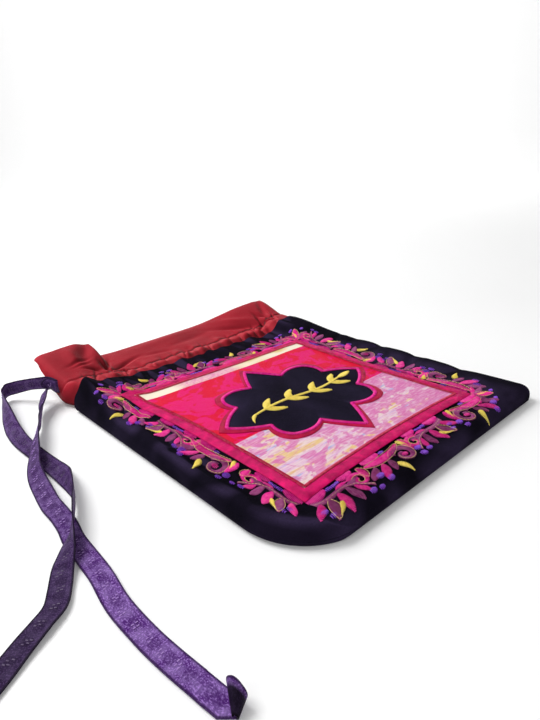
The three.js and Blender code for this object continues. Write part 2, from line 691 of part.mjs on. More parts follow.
// Panel pieces, each cut from a layer of its own thickness.
function panelPieces() {
  const layer = clothLayer(GAP, GAP + APPLIQUE_WALL);
  const grown = OUTLINE_BAND + BORDER_BAND;
  const tall = clothLayer(-GAP, COLLAR_LIFT);
  const inside = cutFromLayer(panelShape(FRAME_BAND + GAP), layer, SIDE_PARTS);
  const ground = inside.subtract(cutFromLayer(medallionShape(grown + GAP), tall));
  const brocadeTop = panelY - PANEL_SIZE / 2 + FRAME_BAND + BROCADE_HEIGHT;
  const overStripe = (depth) => cutFromLayer(stripeCutShape(depth), tall);
  const below = cutFromLayer(belowShape(brocadeTop), tall);
  const belowGap = cutFromLayer(belowShape(brocadeTop + GAP), tall);
  const ring = (outer, inner, wall) => band(
    outlinePoints(medallionShape(outer), CURVE_PARTS),
    outlinePoints(medallionShape(inner), CURVE_PARTS),
    wall,
  );
  const edge = outlinePoints(panelShape(0), SIDE_PARTS);
  return {
    frame: band(edge, outlinePoints(panelShape(FRAME_BAND), SIDE_PARTS), FRAME_WALL),
    stripe: fromSolid(ground.intersect(overStripe(STRIPE_WIDTH))),
    red: fromSolid(ground.subtract(overStripe(STRIPE_WIDTH + GAP)).subtract(belowGap)),
    brocade: fromSolid(ground.intersect(below)),
    border: ring(grown, OUTLINE_BAND + GAP, APPLIQUE_WALL),
    outline: ring(OUTLINE_BAND, GAP, OUTLINE_WALL),
    medallion: fromSolid(cutFromLayer(medallionShape(0), layer)),
  };
}

// A flat ribbon along points, each with its own roll about the way it runs.
function ribbonGeometry(stations) {
  const points = stations.map((s) => new THREE.Vector3(s.x, s.y, s.z));
  const curve = new THREE.CatmullRomCurve3(points, false, 'centripetal');
  const steps = (stations.length - 1) * 2;
  const up = new THREE.Vector3(0, 0, 1);
  const level = new THREE.Vector3().crossVectors(curve.getTangent(0), up).normalize();
  const vertices = [];
  for (let i = 0; i <= steps; i += 1) {
    const t = i / steps;
    const centre = curve.getPoint(t);
    const ahead = curve.getTangent(t);
    const row = Math.min(Math.floor(i / 2), stations.length - 1);
    const next = Math.min(row + (i % 2), stations.length - 1);
    const turn = THREE.MathUtils.degToRad((stations[row].roll + stations[next].roll) / 2);
    const flat = new THREE.Vector3().crossVectors(ahead, up);
    const facing = flat.dot(level) < 0 ? -1 : 1;
    if (flat.length() > LEVEL_LIMIT) level.copy(flat.normalize().multiplyScalar(facing));
    const across = level.clone().applyAxisAngle(ahead, turn);
    const normal = new THREE.Vector3().crossVectors(across, ahead).normalize();
    [[-1, -1], [1, -1], [1, 1], [-1, 1]].forEach(([side, face]) => {
      const point = centre.clone().addScaledVector(across, (side * RIBBON_WIDTH) / 2);
      vertices.push(point.addScaledVector(normal, (face * RIBBON_THICK) / 2));
    });
  }
  const faces = [[0, 1, 2, 3]];
  for (let i = 0; i < steps; i += 1) {
    for (let k = 0; k < 4; k += 1) {
      const a = i * 4 + k;
      const b = i * 4 + ((k + 1) % 4);
      faces.push([a, a + 4, b + 4, b]);
    }
  }
  const end = steps * 4;
  faces.push([end + 3, end + 2, end + 1, end]);
  return closedGeometry(vertices, faces);
}

// The hidden run of the drawstring, under the casing's front and back over its back.
function drawstringRun() {
  const y = MOUTH_Y + CASING_WIDTH * DRAWSTRING_SHARE;
  const reach = BODY_WIDTH / 2 - COLLAR_ROLL * 2;
  const over = placesThrough([-reach, reach], RUN_STEP);
  const clear = COLLAR_WALL + GAP + RIBBON_THICK / 2;
  const near = placesThrough([-GATHER_PITCH, GATHER_PITCH], GATHER_PITCH / 4);
  const width = [-RIBBON_WIDTH / 2, 0, RIBBON_WIDTH / 2];
  const lowest = (x) => Math.min(...near.flatMap((dx) => width.map((dy) => frontCrown(x + dx, y + dy))));
  const front = over.map((x) => ({ x, y, z: lowest(x) - clear, roll: 0 }));
  const back = over.map((x) => ({ x, y, z: backLie(x, y - RIBBON_WIDTH / 2) + clear, roll: 0 })).reverse();
  return { front, back };
}

// The cut end of a tail runs on flat, then curls up and back in a cone that narrows to one side.
function curledEnd(route) {
  const last = route.at(-1);
  const before = route.at(-2);
  const up = new THREE.Vector3(0, 0, 1);
  const ahead = new THREE.Vector3(last.x - before.x, last.y - before.y, 0).normalize();
  const out = new THREE.Vector3().crossVectors(up, ahead);
  const start = new THREE.Vector3(last.x, last.y, last.z).addScaledVector(ahead, GAP);
  const place = (along, across) => start.clone()
    .addScaledVector(ahead, along * RIBBON_WIDTH).addScaledVector(out, across * RIBBON_WIDTH);
  const rows = CUT_END.map((row) => ({
    left: place(row.leftAlong, row.leftOut),
    right: place(row.rightAlong, row.rightOut),
    facing: up,
  }));
  const { left, right } = rows.at(-1);
  for (let i = 1; i <= CURL_PARTS; i += 1) {
    const turn = THREE.MathUtils.degToRad((CURL_TURN * i) / CURL_PARTS);
    const lifted = (from, radius) => from.clone().addScaledVector(ahead, radius * Math.sin(turn))
      .addScaledVector(up, radius * (1 - Math.cos(turn)));
    const facing = up.clone().multiplyScalar(Math.cos(turn)).addScaledVector(ahead, -Math.sin(turn));
    rows.push({ left: lifted(left, CURL_TIP), right: lifted(right, CURL_RADIUS), facing });
  }
  const face = (side) => rows.map((row) => [row.right, row.left].map((point) => (
    point.clone().addScaledVector(row.facing, (side * RIBBON_THICK) / 2)
  )));
  return sheet(face(1), face(-1));
}

const panel = panelPieces();
const run = drawstringRun();

const pouch = new THREE.Group();
pouch.add(
  piece('velvet_back', velvetBack(), '#0f0f1d', 0.95),
  piece('velvet_front', sheet(outerFace, innerFace), '#12121f', 0.95),
  piece('collar_back', collarBack(), '#9c2c3c', 0.45),
  piece('collar_front', collarFront(), '#a93243', 0.45),
  piece('panel_frame', panel.frame, '#e2287a', 0.6),
  piece('cream_stripe', panel.stripe, '#efdcc4', 0.7),
  piece('red_jacquard', panel.red, '#e80c38', 0.65),
  piece('pastel_brocade', panel.brocade, '#dd8fc0', 0.7),
  piece('medallion_border', panel.border, '#c81e50', 0.6),
  piece('medallion_outline', panel.outline, '#e60096', 0.5),
  piece('medallion', panel.medallion, '#141422', 0.95),
  piece('gold_sprig', goldSprig(), '#e8d24a', 0.5),
  piece('drawstring_front', ribbonGeometry(run.front), '#5c3896', 0.5),
  piece('drawstring_back', ribbonGeometry(run.back), '#5c3896', 0.5),
  piece('ribbon_tail_a', ribbonGeometry(TAIL_A), '#5f3c98', 0.5),
  piece('ribbon_tail_b', ribbonGeometry(TAIL_B), '#5f3c98', 0.5),
  piece('ribbon_end_a', curledEnd(TAIL_A), '#3c2466', 0.6),
  piece('ribbon_end_b', curledEnd(TAIL_B), '#3c2466', 0.6),
);

export default pouch;
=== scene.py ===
"""A velvet drawstring pouch with a satin collar, an applied woven square and a ribbon tie."""

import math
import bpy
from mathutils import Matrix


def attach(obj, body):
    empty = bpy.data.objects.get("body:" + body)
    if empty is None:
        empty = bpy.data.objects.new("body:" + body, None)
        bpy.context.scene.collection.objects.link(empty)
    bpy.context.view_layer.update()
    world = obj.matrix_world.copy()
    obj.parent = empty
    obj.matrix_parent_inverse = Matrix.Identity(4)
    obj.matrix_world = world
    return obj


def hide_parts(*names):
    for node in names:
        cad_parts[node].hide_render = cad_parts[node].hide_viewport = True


bl_info = {
    "name": "Velvet drawstring pouch",
    "version": (1, 0, 0),
    "blender": (4, 5, 0),
    "location": "View3D > Sidebar > Pouch",
    "description": "Builds the cloth, embroidery and ribbon of a drawstring pouch",
    "category": "Object",
}

import bpy
import numpy as np
from bpy.props import FloatProperty, FloatVectorProperty, PointerProperty
from mathutils import Matrix

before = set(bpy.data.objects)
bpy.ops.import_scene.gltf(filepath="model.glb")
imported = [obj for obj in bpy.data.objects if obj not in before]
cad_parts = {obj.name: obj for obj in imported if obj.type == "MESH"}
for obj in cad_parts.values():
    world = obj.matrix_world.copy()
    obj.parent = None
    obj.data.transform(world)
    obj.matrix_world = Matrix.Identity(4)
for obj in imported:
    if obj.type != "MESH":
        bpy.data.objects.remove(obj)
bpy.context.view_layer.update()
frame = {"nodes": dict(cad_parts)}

MM = 0.001

# Sizes in millimetres, some shares of them, and one angle in degrees. Those that the solids have too are the
# same there.
GAP = 0.3
BODY_WIDTH = 244
BODY_LENGTH = 232
MOUTH_Y = 114
BOTTOM_Y = MOUTH_Y - BODY_LENGTH
MIDDLE_Y = MOUTH_Y - BODY_LENGTH / 2
VELVET_WALL = 2
VELVET_HEIGHT = 13
SEAM_HEIGHT = 4
FRONT_ROLL = 12
BACK_ROLL = 5
LEFT_CORNER = 42
RIGHT_CORNER = 9
CORNER_SPREAD = 5
MOUTH_FADE = 62
COLLAR_LENGTH = 60
COLLAR_SPREAD = 2
COLLAR_PULL = 6
COLLAR_WALL = 1.2
COLLAR_TUCK = 8
COLLAR_LIFT = 33
CASING_WIDTH = 18
CASING_CREST = 0.45
BACK_LIFT_SHARE = 0.8
COLLAR_ROLL = 7
BACK_LIE = 0.3
PANEL_SIZE = 174
PANEL_X = -7.5
PANEL_Y = MIDDLE_Y - 4.5
PANEL_BOW = 3
APPLIQUE_WALL = 1
FRAME_BAND = 8
FRAME_WALL = 1.4
STRIPE_WIDTH = 11
BROCADE_HEIGHT = 60
MEDALLION_WIDTH = 130
MEDALLION_HEIGHT = 116
MEDALLION_X = -9
MEDALLION_Y = MIDDLE_Y - 6
OUTLINE_BAND = 3.2
BORDER_BAND = 5
SPRIG_LENGTH = 84
RIBBON_WIDTH = 11
RIBBON_THICK = 0.8
CURL_RADIUS = 4.8
CURL_TIP = 1.2
CURL_TURN = 300
RIBBON_WALL = RIBBON_THICK * 0.9
PANEL = np.array([PANEL_X, PANEL_Y])
MEDALLION = np.array([MEDALLION_X, MEDALLION_Y])

# The casing's stitch line: how deep and how far it draws the satin in, how far inside the body's left and
# right sides it ends, and its thread's lift.
STITCH_SINK = 1.2
STITCH_REACH = 1.1
STITCH_ENDS = (14, 22)
STITCH_LIFT = 0.8

# The slanted pleats along the stitch line: their number, their spacing and their half width.
PLEATS = 28
PLEAT_PITCH = 7.6
PLEAT_WIDTH = 1.15

# The sprig's stem: how far it sways, and its pairs of leaves.
SPRIG_SWAY = 2.5
SPRIG_PAIRS = 4

# The border's repeats: the reach that they are drawn at, and how much longer they are laid than drawn.
DRAWN_REACH = 20
REPEAT_STRETCH = 1.36

THREAD_RADIUS = 0.34

# The floor and the backdrop that it bends up into, in metres: its width, its whole run, how much of that
# lies before the pouch, where the bend starts and its radius, and how far it lies below the pouch.
FLOOR_WIDTH = 16
FLOOR_RUN = 11
FLOOR_BEFORE = 4
FLOOR_LEVEL = 2.5
FLOOR_BEND = 2
FLOOR_DROP = 0.0002

# The widest angle between faces that is still shaded as smooth, in degrees.
SMOOTH_ANGLE = 60
# Points of a mesh that lie closer than this are merged, in metres.
MERGE_REACH = 1e-6

UP = np.array([0.0, 0.0, 1.0])
WHITE = (1, 1, 1)


def table(columns, rows):
    """A short table as one array for each named column."""
    return dict(zip(columns.split(), np.array(rows, float).T))


# The mouth from left to right: heights of the velvet's hem and of the satin's casing, stitch line, front hem
# and back hem, as shares of COLLAR_LIFT, and the satin's reach as a share of COLLAR_LENGTH.
MOUTH = table("across velvet casing stitch hem back reach", [
    (-1.04, 0.70, 0.52, 0.50, 0.84, 0.70, 1.03),
    (-0.93, 0.74, 0.60, 0.55, 0.86, 0.74, 1.04),
    (-0.83, 0.64, 0.58, 0.55, 0.89, 0.77, 1.03),
    (-0.73, 0.58, 0.54, 0.50, 0.94, 0.72, 1.00),
    (-0.65, 0.46, 0.48, 0.46, 0.90, 0.36, 0.97),
    (-0.59, 0.45, 0.43, 0.37, 0.47, 0.04, 0.96),
    (-0.42, 0.44, 0.43, 0.35, 0.45, 0.00, 0.95),
    (-0.19, 0.42, 0.43, 0.36, 0.45, 0.00, 0.96),
    (0.05, 0.41, 0.43, 0.36, 0.47, 0.00, 0.97),
    (0.28, 0.39, 0.43, 0.37, 0.50, 0.00, 0.98),
    (0.47, 0.37, 0.43, 0.39, 0.60, 0.03, 0.96),
    (0.63, 0.38, 0.42, 0.44, 0.73, 0.10, 0.91),
    (0.76, 0.62, 0.58, 0.58, 0.80, 0.24, 0.87),
    (0.88, 0.60, 0.58, 0.60, 0.84, 0.34, 0.84),
    (1.04, 0.44, 0.44, 0.50, 0.66, 0.42, 0.80),
])

# Where the satin's two layers meet along its left and right sides, as shares of COLLAR_LIFT.
SIDE_FOLD = table("along left right", [
    (-0.20, 0.125, 0.125),
    (0.10, 0.125, 0.125),
    (0.30, 0.17, 0.18),
    (0.50, 0.28, 0.28),
    (0.75, 0.55, 0.40),
    (1.00, 0.75, 0.46),
])

# Broad dents in the velvet, as shares of its half width, half length and height, negative for a swell.
DENTS = table("x y wide long depth", [
    (-0.72, 0.62, 0.22, 0.14, 0.10),
    (-0.10, 0.80, 0.50, 0.14, 0.07),
    (0.58, 0.86, 0.12, 0.30, 0.12),
    (0.86, 0.36, 0.16, 0.07, 0.12),
    (0.88, 0.08, 0.16, 0.07, 0.12),
    (0.86, -0.22, 0.16, 0.08, 0.12),
    (0.88, -0.55, 0.14, 0.08, 0.10),
    (-0.86, -0.30, 0.12, 0.20, 0.08),
    (0.10, -0.90, 0.45, 0.08, 0.08),
    (0.88, -0.05, 0.18, 1.10, -0.25),
])

# Creases in the velvet, in millimetres: the middle, the way it runs in degrees, its half length and
# half width, and its depth, negative for a ridge.
CREASES = table("x y run long wide depth", [
    (103, 52, 18, 15, 3.2, 1.5),
    (101, 40, 8, 16, 3.0, -0.8),
    (104, 14, -12, 16, 3.4, 1.5),
    (101, 4, -4, 15, 3.0, -0.8),
    (103, -26, 14, 17, 3.4, 1.4),
    (100, -37, 6, 14, 3.0, -0.8),
    (104, -62, -10, 14, 3.4, 1.4),
    (96, 78, 30, 15, 3.4, 0.8),
    (-107, 22, 82, 20, 3.0, 1.2),
    (-108, -36, 96, 22, 3.0, 1.2),
    (-104, 52, 44, 14, 3.0, 1.3),
    (-106, -6, 128, 12, 3.0, 1.2),
    (-103, -62, 60, 14, 3.0, 1.2),
    (-100, 86, 140, 12, 3.4, 1.6),
    (-106, 70, 60, 15, 3.4, 1.4),
    (-82, 102, 100, 12, 3.2, 2.6),
    (-62, 103, 84, 12, 3.0, 2.0),
    (-98, 105, 96, 12, 3.0, 2.6),
    (-34, 102, 95, 11, 2.6, 0.9),
    (-4, 103, 88, 10, 2.6, 0.6),
    (28, 103, 92, 10, 2.6, 0.6),
    (-60, -104, 10, 20, 3.0, 0.6),
    (20, -106, -4, 22, 2.6, 0.6),
    (70, -104, 6, 16, 2.6, 0.6),
    (-98, -88, 132, 16, 4.0, 0.7),
])

# Folds in the satin front, laid out like the creases.
FOLDS = table("x y run long wide depth", [
    (-87, 163, 60, 13, 6.0, 3.5),
    (-99, 158, 100, 14, 5.0, -1.7),
    (-98, 152, 12, 9, 1.6, 1.4),
    (-97, 148, 8, 7, 1.3, 1.2),
    (-80, 141, 100, 7, 2.4, 4.6),
    (-76, 147, 62, 10, 1.8, 2.6),
    (-69, 142, 20, 11, 1.7, 2.6),
    (-70, 135, -22, 10, 1.6, 2.0),
    (-86, 134, 120, 9, 1.8, 2.3),
    (-91, 141, 160, 8, 1.6, 1.7),
    (-58, 147, 12, 14, 2.2, 1.3),
    (-30, 146, -8, 16, 2.6, 1.0),
    (8, 152, 6, 22, 4.0, 1.2),
    (-8, 165, 4, 40, 6.0, -1.3),
    (60, 143, -28, 22, 3.2, 2.6),
    (67, 151, -34, 20, 4.0, -1.7),
    (86, 134, 84, 9, 2.2, 4.1),
    (80, 128, 40, 8, 1.8, 2.6),
    (93, 138, 118, 9, 2.0, 2.6),
    (92, 128, 150, 8, 1.8, 2.0),
    (100, 150, 66, 14, 3.4, 1.7),
])

# The panel's corners, as shares of half its size.
PANEL_CORNERS = np.array([(-1.00, -1.00), (0.98, -1.00), (0.98, 0.98), (-1.05, 1.06)])

# One quarter of the medallion: the end of each curve and the point it bulges towards, as shares of half
# its size.
QUARTER = [
    (1.00, 0.00, 1.00, 0.00),
    (0.66, 0.29, 0.86, 0.20),
    (0.62, 0.60, 0.73, 0.46),
    (0.24, 0.58, 0.44, 0.72),
    (0.00, 1.00, 0.12, 0.84),
]

# Routes of the two ribbon tails: the ribbon's middle, in metres, and its roll in degrees.
TAIL_A = [
    (-0.1242, 0.134, 0.0155, 88), (-0.1265, 0.144, 0.016, 84), (-0.131, 0.150, 0.0155, 75),
    (-0.138, 0.158, 0.014, 70), (-0.145, 0.167, 0.011, 75), (-0.150, 0.171, 0.009, 80),
    (-0.155, 0.167, 0.0075, 85), (-0.158, 0.157, 0.007, 75), (-0.161, 0.144, 0.006, 60),
    (-0.164, 0.130, 0.0045, 42), (-0.167, 0.113, 0.0032, 25), (-0.168, 0.096, 0.0018, 8),
    (-0.167, 0.076, 0.0012, 2), (-0.166, 0.055, 0.0016, 8), (-0.166, 0.038, 0.0034, 30),
    (-0.168, 0.023, 0.0056, 62), (-0.171, 0.010, 0.0066, 84), (-0.176, -0.001, 0.0076, 88),
    (-0.181, -0.011, 0.0078, 84), (-0.187, -0.021, 0.0068, 64), (-0.193, -0.029, 0.0042, 34),
    (-0.199, -0.037, 0.0022, 14), (-0.205, -0.047, 0.0012, 4), (-0.211, -0.056, 0.0014, 6),
    (-0.219, -0.061, 0.0016, 8), (-0.230, -0.067, 0.0012, 4), (-0.240, -0.073, 0.0010, 0),
    (-0.249, -0.078, 0.0010, 0),
]
TAIL_B = [
    (-0.126, 0.1325, 0.0165, 86), (-0.1286, 0.138, 0.0175, 80), (-0.1315, 0.1395, 0.014, 50),
    (-0.1365, 0.134, 0.010, 50), (-0.141, 0.126, 0.0074, 62), (-0.146, 0.116, 0.0068, 82),
    (-0.151, 0.106, 0.007, 85), (-0.158, 0.093, 0.0078, 66), (-0.165, 0.079, 0.0078, 54),
    (-0.171, 0.065, 0.0066, 45), (-0.176, 0.054, 0.0046, 38), (-0.179, 0.042, 0.0034, 30),
    (-0.181, 0.029, 0.0028, 20), (-0.183, 0.014, 0.0024, 14), (-0.183, 0.002, 0.0016, 8),
    (-0.184, -0.009, 0.001, 0), (-0.186, -0.020, 0.0008, 0), (-0.187, -0.036, 0.0008, 0),
    (-0.188, -0.052, 0.0009, 0), (-0.191, -0.074, 0.001, 2), (-0.191, -0.097, 0.0009, 0),
    (-0.190, -0.112, 0.001, 2), (-0.1883, -0.127, 0.001, 0),
]

# The flat part of a tail's cut end, in widths of the ribbon: how far its left edge runs on and lies out, and
# then its right edge.
CUT_END = [
    (0.0, -0.5, 0.0, 0.5),
    (0.7, -0.5, 0.4, 0.5),
    (1.4, -0.48, 0.8, 0.5),
    (1.86, -0.1, 1.38, 0.5),
]


def linear(red, green, blue):
    """A screen colour, 0 to 255, as the linear colour that shaders take."""
    shares = [value / 255 for value in (red, green, blue)]
    return tuple(s / 12.92 if s <= 0.04045 else ((s + 0.055) / 1.055) ** 2.4 for s in shares)


def colour_property(name, description, *screen):
    return FloatVectorProperty(
        name=name, description=description, subtype="COLOR", size=3, min=0, max=1, default=linear(*screen)
    )


class PouchSizes(bpy.types.PropertyGroup):
    gather_depth: FloatProperty(
        name="Gather depth", description="Depth of the satin's gathers at the drawstring",
        default=1.25 * MM, min=0, max=2 * MM, unit="LENGTH",
    )
    velvet_gather: FloatProperty(
        name="Velvet gather", description="Depth of the gathers in the velvet's hem",
        default=1.1 * MM, min=0, max=2 * MM, unit="LENGTH",
    )
    thread_pitch: FloatProperty(
        name="Thread pitch", description="Distance between the embroidery threads",
        default=0.56 * MM, min=0.3 * MM, max=2 * MM, unit="LENGTH",
    )
    stitch_length: FloatProperty(
        name="Stitch length", description="Length of one stitch of a seam",
        default=2.2 * MM, min=1 * MM, max=6 * MM, unit="LENGTH",
    )
    camera_lens: FloatProperty(
        name="Lens", description="Focal length of the camera", default=27.25, min=10, max=200, unit="CAMERA",
    )
    light_power: FloatProperty(
        name="Light", description="Power of the main soft light", default=14.5, min=0, max=500, unit="POWER",
    )


class PouchColours(bpy.types.PropertyGroup):
    velvet: colour_property("Velvet", "Pile of the pouch", 10, 8, 17)
    satin: colour_property("Satin", "Satin of the collar", 170, 36, 50)
    ribbon: colour_property("Ribbon", "Ribbon of the drawstring", 77, 33, 112)
    frame: colour_property("Panel band", "Band round the applied square", 226, 18, 108)
    crimson: colour_property("Crimson", "Crimson band and stitching", 192, 18, 70)
    magenta: colour_property("Magenta", "Magenta outline of the medallion", 236, 0, 150)
    gold: colour_property("Gold", "Gold embroidery thread", 246, 222, 96)
    plum: colour_property("Plum", "Plum embroidery thread", 146, 42, 112)
    violet: colour_property("Violet", "Violet embroidery thread", 138, 62, 214)
    pink: colour_property("Pink", "Pink embroidery thread", 226, 16, 142)
    cream: colour_property("Cream", "Cream thread of the embroidery's edges", 226, 190, 128)


def dyed(name):
    """One of the pouch's colours."""
    return tuple(getattr(bpy.context.scene.pouch_colours, name))


def size_of(name):
    """One of the pouch's sizes, in millimetres."""
    return getattr(bpy.context.scene.pouch_sizes, name) / MM


def through(places, values, at):
    """A smooth curve through values at places that never swings past them, for arrays of curves."""
    at = np.asarray(at, float)
    places = [np.broadcast_to(np.asarray(p, float), at.shape) for p in places]
    values = [np.broadcast_to(np.asarray(v, float), at.shape) for v in values]
    spans = [b - a for a, b in zip(places, places[1:])]
    slopes = [(b - a) / s for a, b, s in zip(values, values[1:], spans)]
    tangents = [np.zeros(at.shape)]
    for before, after in zip(slopes, slopes[1:]):
        same = before * after > 0
        safe = np.where(same, 1 / np.where(same, before, 1) + 1 / np.where(same, after, 1), 1)
        tangents.append(np.where(same, 2 / safe, 0))
    tangents.append(np.zeros(at.shape))
    found = np.where(at <= places[0], values[0], values[-1])
    for i, span in enumerate(spans):
        t = np.clip((at - places[i]) / span, 0, 1)
        curve = values[i] + (values[i + 1] - values[i]) * t * t * (3 - 2 * t)
        curve = curve + t * (1 - t) ** 2 * span * tangents[i] - t * t * (1 - t) * span * tangents[i + 1]
        inside = (at > places[i]) & (at <= places[i + 1])
        found = np.where(inside, curve, found)
    return found


def mouth_share(name, x):
    """One of the mouth's shares at places across it."""
    return through(MOUTH["across"], MOUTH[name], x / (BODY_WIDTH / 2))


def smooth(t):
    """A share that starts and ends gently."""
    k = np.clip(t, 0, 1)
    return k * k * (3 - 2 * k)


def roll(distance, radius):
    """Height share of a padded edge that rolls over within one radius."""
    t = 1 - np.clip(distance / radius, 0, 1)
    return np.sqrt(1 - t * t)


def corner_inset(rise, radius):
    """How far a round corner of the body lies inside its side, at a rise above the bottom."""
    t = np.clip(radius - rise, 0, radius)
    return radius - np.sqrt(radius * radius - t * t)


def body_limits(y, inset=0):
    """Left and right limits of the body, with a wall taken off."""
    rise = y - BOTTOM_Y - inset
    spread = CORNER_SPREAD * (1 - smooth(rise / MOUTH_FADE))
    left = -BODY_WIDTH / 2 + inset + corner_inset(rise, LEFT_CORNER - inset)
    right = BODY_WIDTH / 2 + spread - inset - corner_inset(rise, RIGHT_CORNER - inset)
    return left, right


def creases(x, y, folds=CREASES):
    """Fall of a cloth into its creases, in millimetres."""
    fall = np.zeros(np.shape(x))
    for cx, cy, run, long, wide, depth in zip(*folds.values()):
        turn = math.radians(run)
        along = ((x - cx) * math.cos(turn) + (y - cy) * math.sin(turn)) / long
        across = ((y - cy) * math.cos(turn) - (x - cx) * math.sin(turn)) / wide
        fall = fall + depth * np.exp(-(along ** 2 + across ** 2))
    return fall


def hem_gathers(x, y):
    """Uneven gathers along the velvet's hem, from -1 to 1."""
    wave = np.sin(x / 2.6 + 1.4 * np.sin(x / 17)) + 0.6 * np.sin(x / 4.3 + 2)
    return wave / 1.6 * np.exp(-(((MOUTH_Y - y) / 13) ** 2))


def velvet_crown(x, y, settled):
    """Height of the velvet front away from its rolled edges; settled cloth has no fine folds."""
    hem = mouth_share("velvet", x) * COLLAR_LIFT
    near = smooth(1 - (MOUTH_Y - y) / MOUTH_FADE)
    height = VELVET_HEIGHT + (hem - VELVET_HEIGHT) * near
    for dx, dy, wide, long, depth in zip(*DENTS.values()):
        across = (x - dx * BODY_WIDTH / 2) / (wide * BODY_WIDTH / 2)
        along = (y - MIDDLE_Y - dy * BODY_LENGTH / 2) / (long * BODY_LENGTH / 2)
        height = height - depth * VELVET_HEIGHT * np.exp(-(across ** 2 + along ** 2))
    if settled:
        return height
    ripple = 0.16 * np.sin(x / 9 + 0.7 * np.sin(y / 13)) * np.sin(y / 11 + 0.9 * np.sin(x / 15))
    return height - creases(x, y) + size_of("velvet_gather") * hem_gathers(x, y) + ripple


def front_height(x, y, inner=False):
    """Height of the velvet front's outer face, or of its inner face, which has no fine folds."""
    inset = VELVET_WALL if inner else 0
    radius = FRONT_ROLL - inset
    foot = SEAM_HEIGHT + GAP / 2
    left, right = body_limits(y, inset)
    share = (x - left) / (right - left)
    side = np.minimum(share, 1 - share) * BODY_WIDTH * radius / FRONT_ROLL
    end = (y - BOTTOM_Y - inset) * BODY_LENGTH / (BODY_LENGTH - inset) * radius / FRONT_ROLL
    crown = velvet_crown(x, y, inner) - inset - foot
    return foot + crown * roll(np.minimum(side, end), radius)


def collar_limit(x, y):
    """Half width of the collar, which spreads on the left and is drawn in on the right."""
    clear = BODY_WIDTH / 2 - VELVET_WALL * 2
    past = np.where(x < 0, COLLAR_SPREAD, -COLLAR_PULL)
    return clear + (BODY_WIDTH / 2 + past - clear) * smooth((y - MOUTH_Y) / CASING_WIDTH)


def side_fold(x, y):
    """Height at which the satin's layers meet at the nearer side."""
    along = (y - MOUTH_Y) / COLLAR_LENGTH
    left = through(SIDE_FOLD["along"], SIDE_FOLD["left"], along)
    right = through(SIDE_FOLD["along"], SIDE_FOLD["right"], along)
    return np.where(x < 0, left, right) * COLLAR_LIFT


def satin_gathers(x, y):
    """Tight uneven pleats at the drawstring and under the stitch line, from -1 to 1."""
    along = (y - MOUTH_Y) / CASING_WIDTH
    tight = np.sin(x / 1.55 + 1.8 * np.sin(x / 11)) + 0.7 * np.sin(x / 2.7 + 1.1 * np.sin(x / 19) + 1)
    wide = np.sin(x / 4.4 + 1.3 * np.sin(x / 23))
    pull = np.exp(-((along - 0.45) / 0.42) ** 2)
    above = np.exp(-((along - 1.15) / 0.30) ** 2)
    return (tight / 1.7 * 0.75 + wide * 0.5) * pull + (wide * 0.55 + tight * 0.18) * above


def pleats(x, y):
    """Narrow slanted pleats that the stitch line pulls in, as a fall in millimetres."""
    fall = np.zeros(np.shape(x))
    for i in range(PLEATS):
        lean = 0.45 * math.sin(i * 1.7)
        off = x + 104 - PLEAT_PITCH * i - 2.6 * math.sin(i * 2.3) - lean * (y - MOUTH_Y - CASING_WIDTH)
        middle = CASING_WIDTH * (0.66 + 0.3 * math.sin(i * 3.1))
        along = (y - MOUTH_Y - middle) / (7 + 2.5 * math.sin(i * 1.3))
        fall = fall + (2.0 + 0.7 * math.sin(i * 2.9)) * np.exp(-((off / PLEAT_WIDTH) ** 2) - along ** 2)
    return fall


def satin_folds(x, y):
    """Long soft folds that run from the stitch line towards the hem, in millimetres."""
    past = smooth((y - MOUTH_Y - CASING_WIDTH) / 12)
    lean = x + 0.35 * (y - MOUTH_Y)
    waves = np.sin(lean / 9.5 + 1.5 * np.sin(x / 31)) * np.exp(-((y - MOUTH_Y - 26) / 16) ** 2)
    return past * (0.45 * waves + 0.25 * np.sin(lean / 17 + 2))


def seam_waver(x):
    """How far the casing's stitch line strays from straight, in millimetres."""
    return 0.7 * np.sin(x / 7 + 1.5 * np.sin(x / 29))


def collar_front_height(x, y, edge):
    """Height of the satin's front layer; edge is the distance to the nearer side."""
    tucked = front_height(x, np.minimum(y, MOUTH_Y), True) - GAP * 2.5
    reach = COLLAR_LENGTH * mouth_share("reach", x)
    places = (
        MOUTH_Y - COLLAR_TUCK, MOUTH_Y, MOUTH_Y + CASING_WIDTH * CASING_CREST,
        MOUTH_Y + CASING_WIDTH, MOUTH_Y + reach,
    )
    heights = (
        tucked, tucked, mouth_share("casing", x) * COLLAR_LIFT,
        mouth_share("stitch", x) * COLLAR_LIFT, mouth_share("hem", x) * COLLAR_LIFT,
    )
    crown = through(places, heights, y)
    loose = smooth((y - MOUTH_Y) / (CASING_WIDTH / 3))
    crown = crown + satin_folds(x, y)
    fall = creases(x, y, FOLDS)
    crown = crown + loose * (size_of("gather_depth") * satin_gathers(x, y) - fall - pleats(x, y))
    stitched = np.exp(-((y - MOUTH_Y - CASING_WIDTH - seam_waver(x)) / STITCH_REACH) ** 2)
    foot = side_fold(x, y) + GAP / 2
    return foot + (crown - STITCH_SINK * stitched - foot) * roll(edge, COLLAR_ROLL)


def collar_back_height(x, y, edge):
    """Height of the satin's back layer; edge is the distance to the nearer side."""
    inside = VELVET_WALL + GAP
    lie = inside + (BACK_LIE - inside) * smooth((y - MOUTH_Y - GAP) / (CASING_WIDTH / 2))
    lifted = smooth((y - MOUTH_Y - CASING_WIDTH * BACK_LIFT_SHARE) / (COLLAR_LENGTH - CASING_WIDTH))
    lie = lie + mouth_share("back", x) * COLLAR_LIFT * lifted
    top = side_fold(x, y) - GAP / 2
    return top + (lie - top) * roll(edge, COLLAR_ROLL)


# ---------------------------------------------------------------- modelling


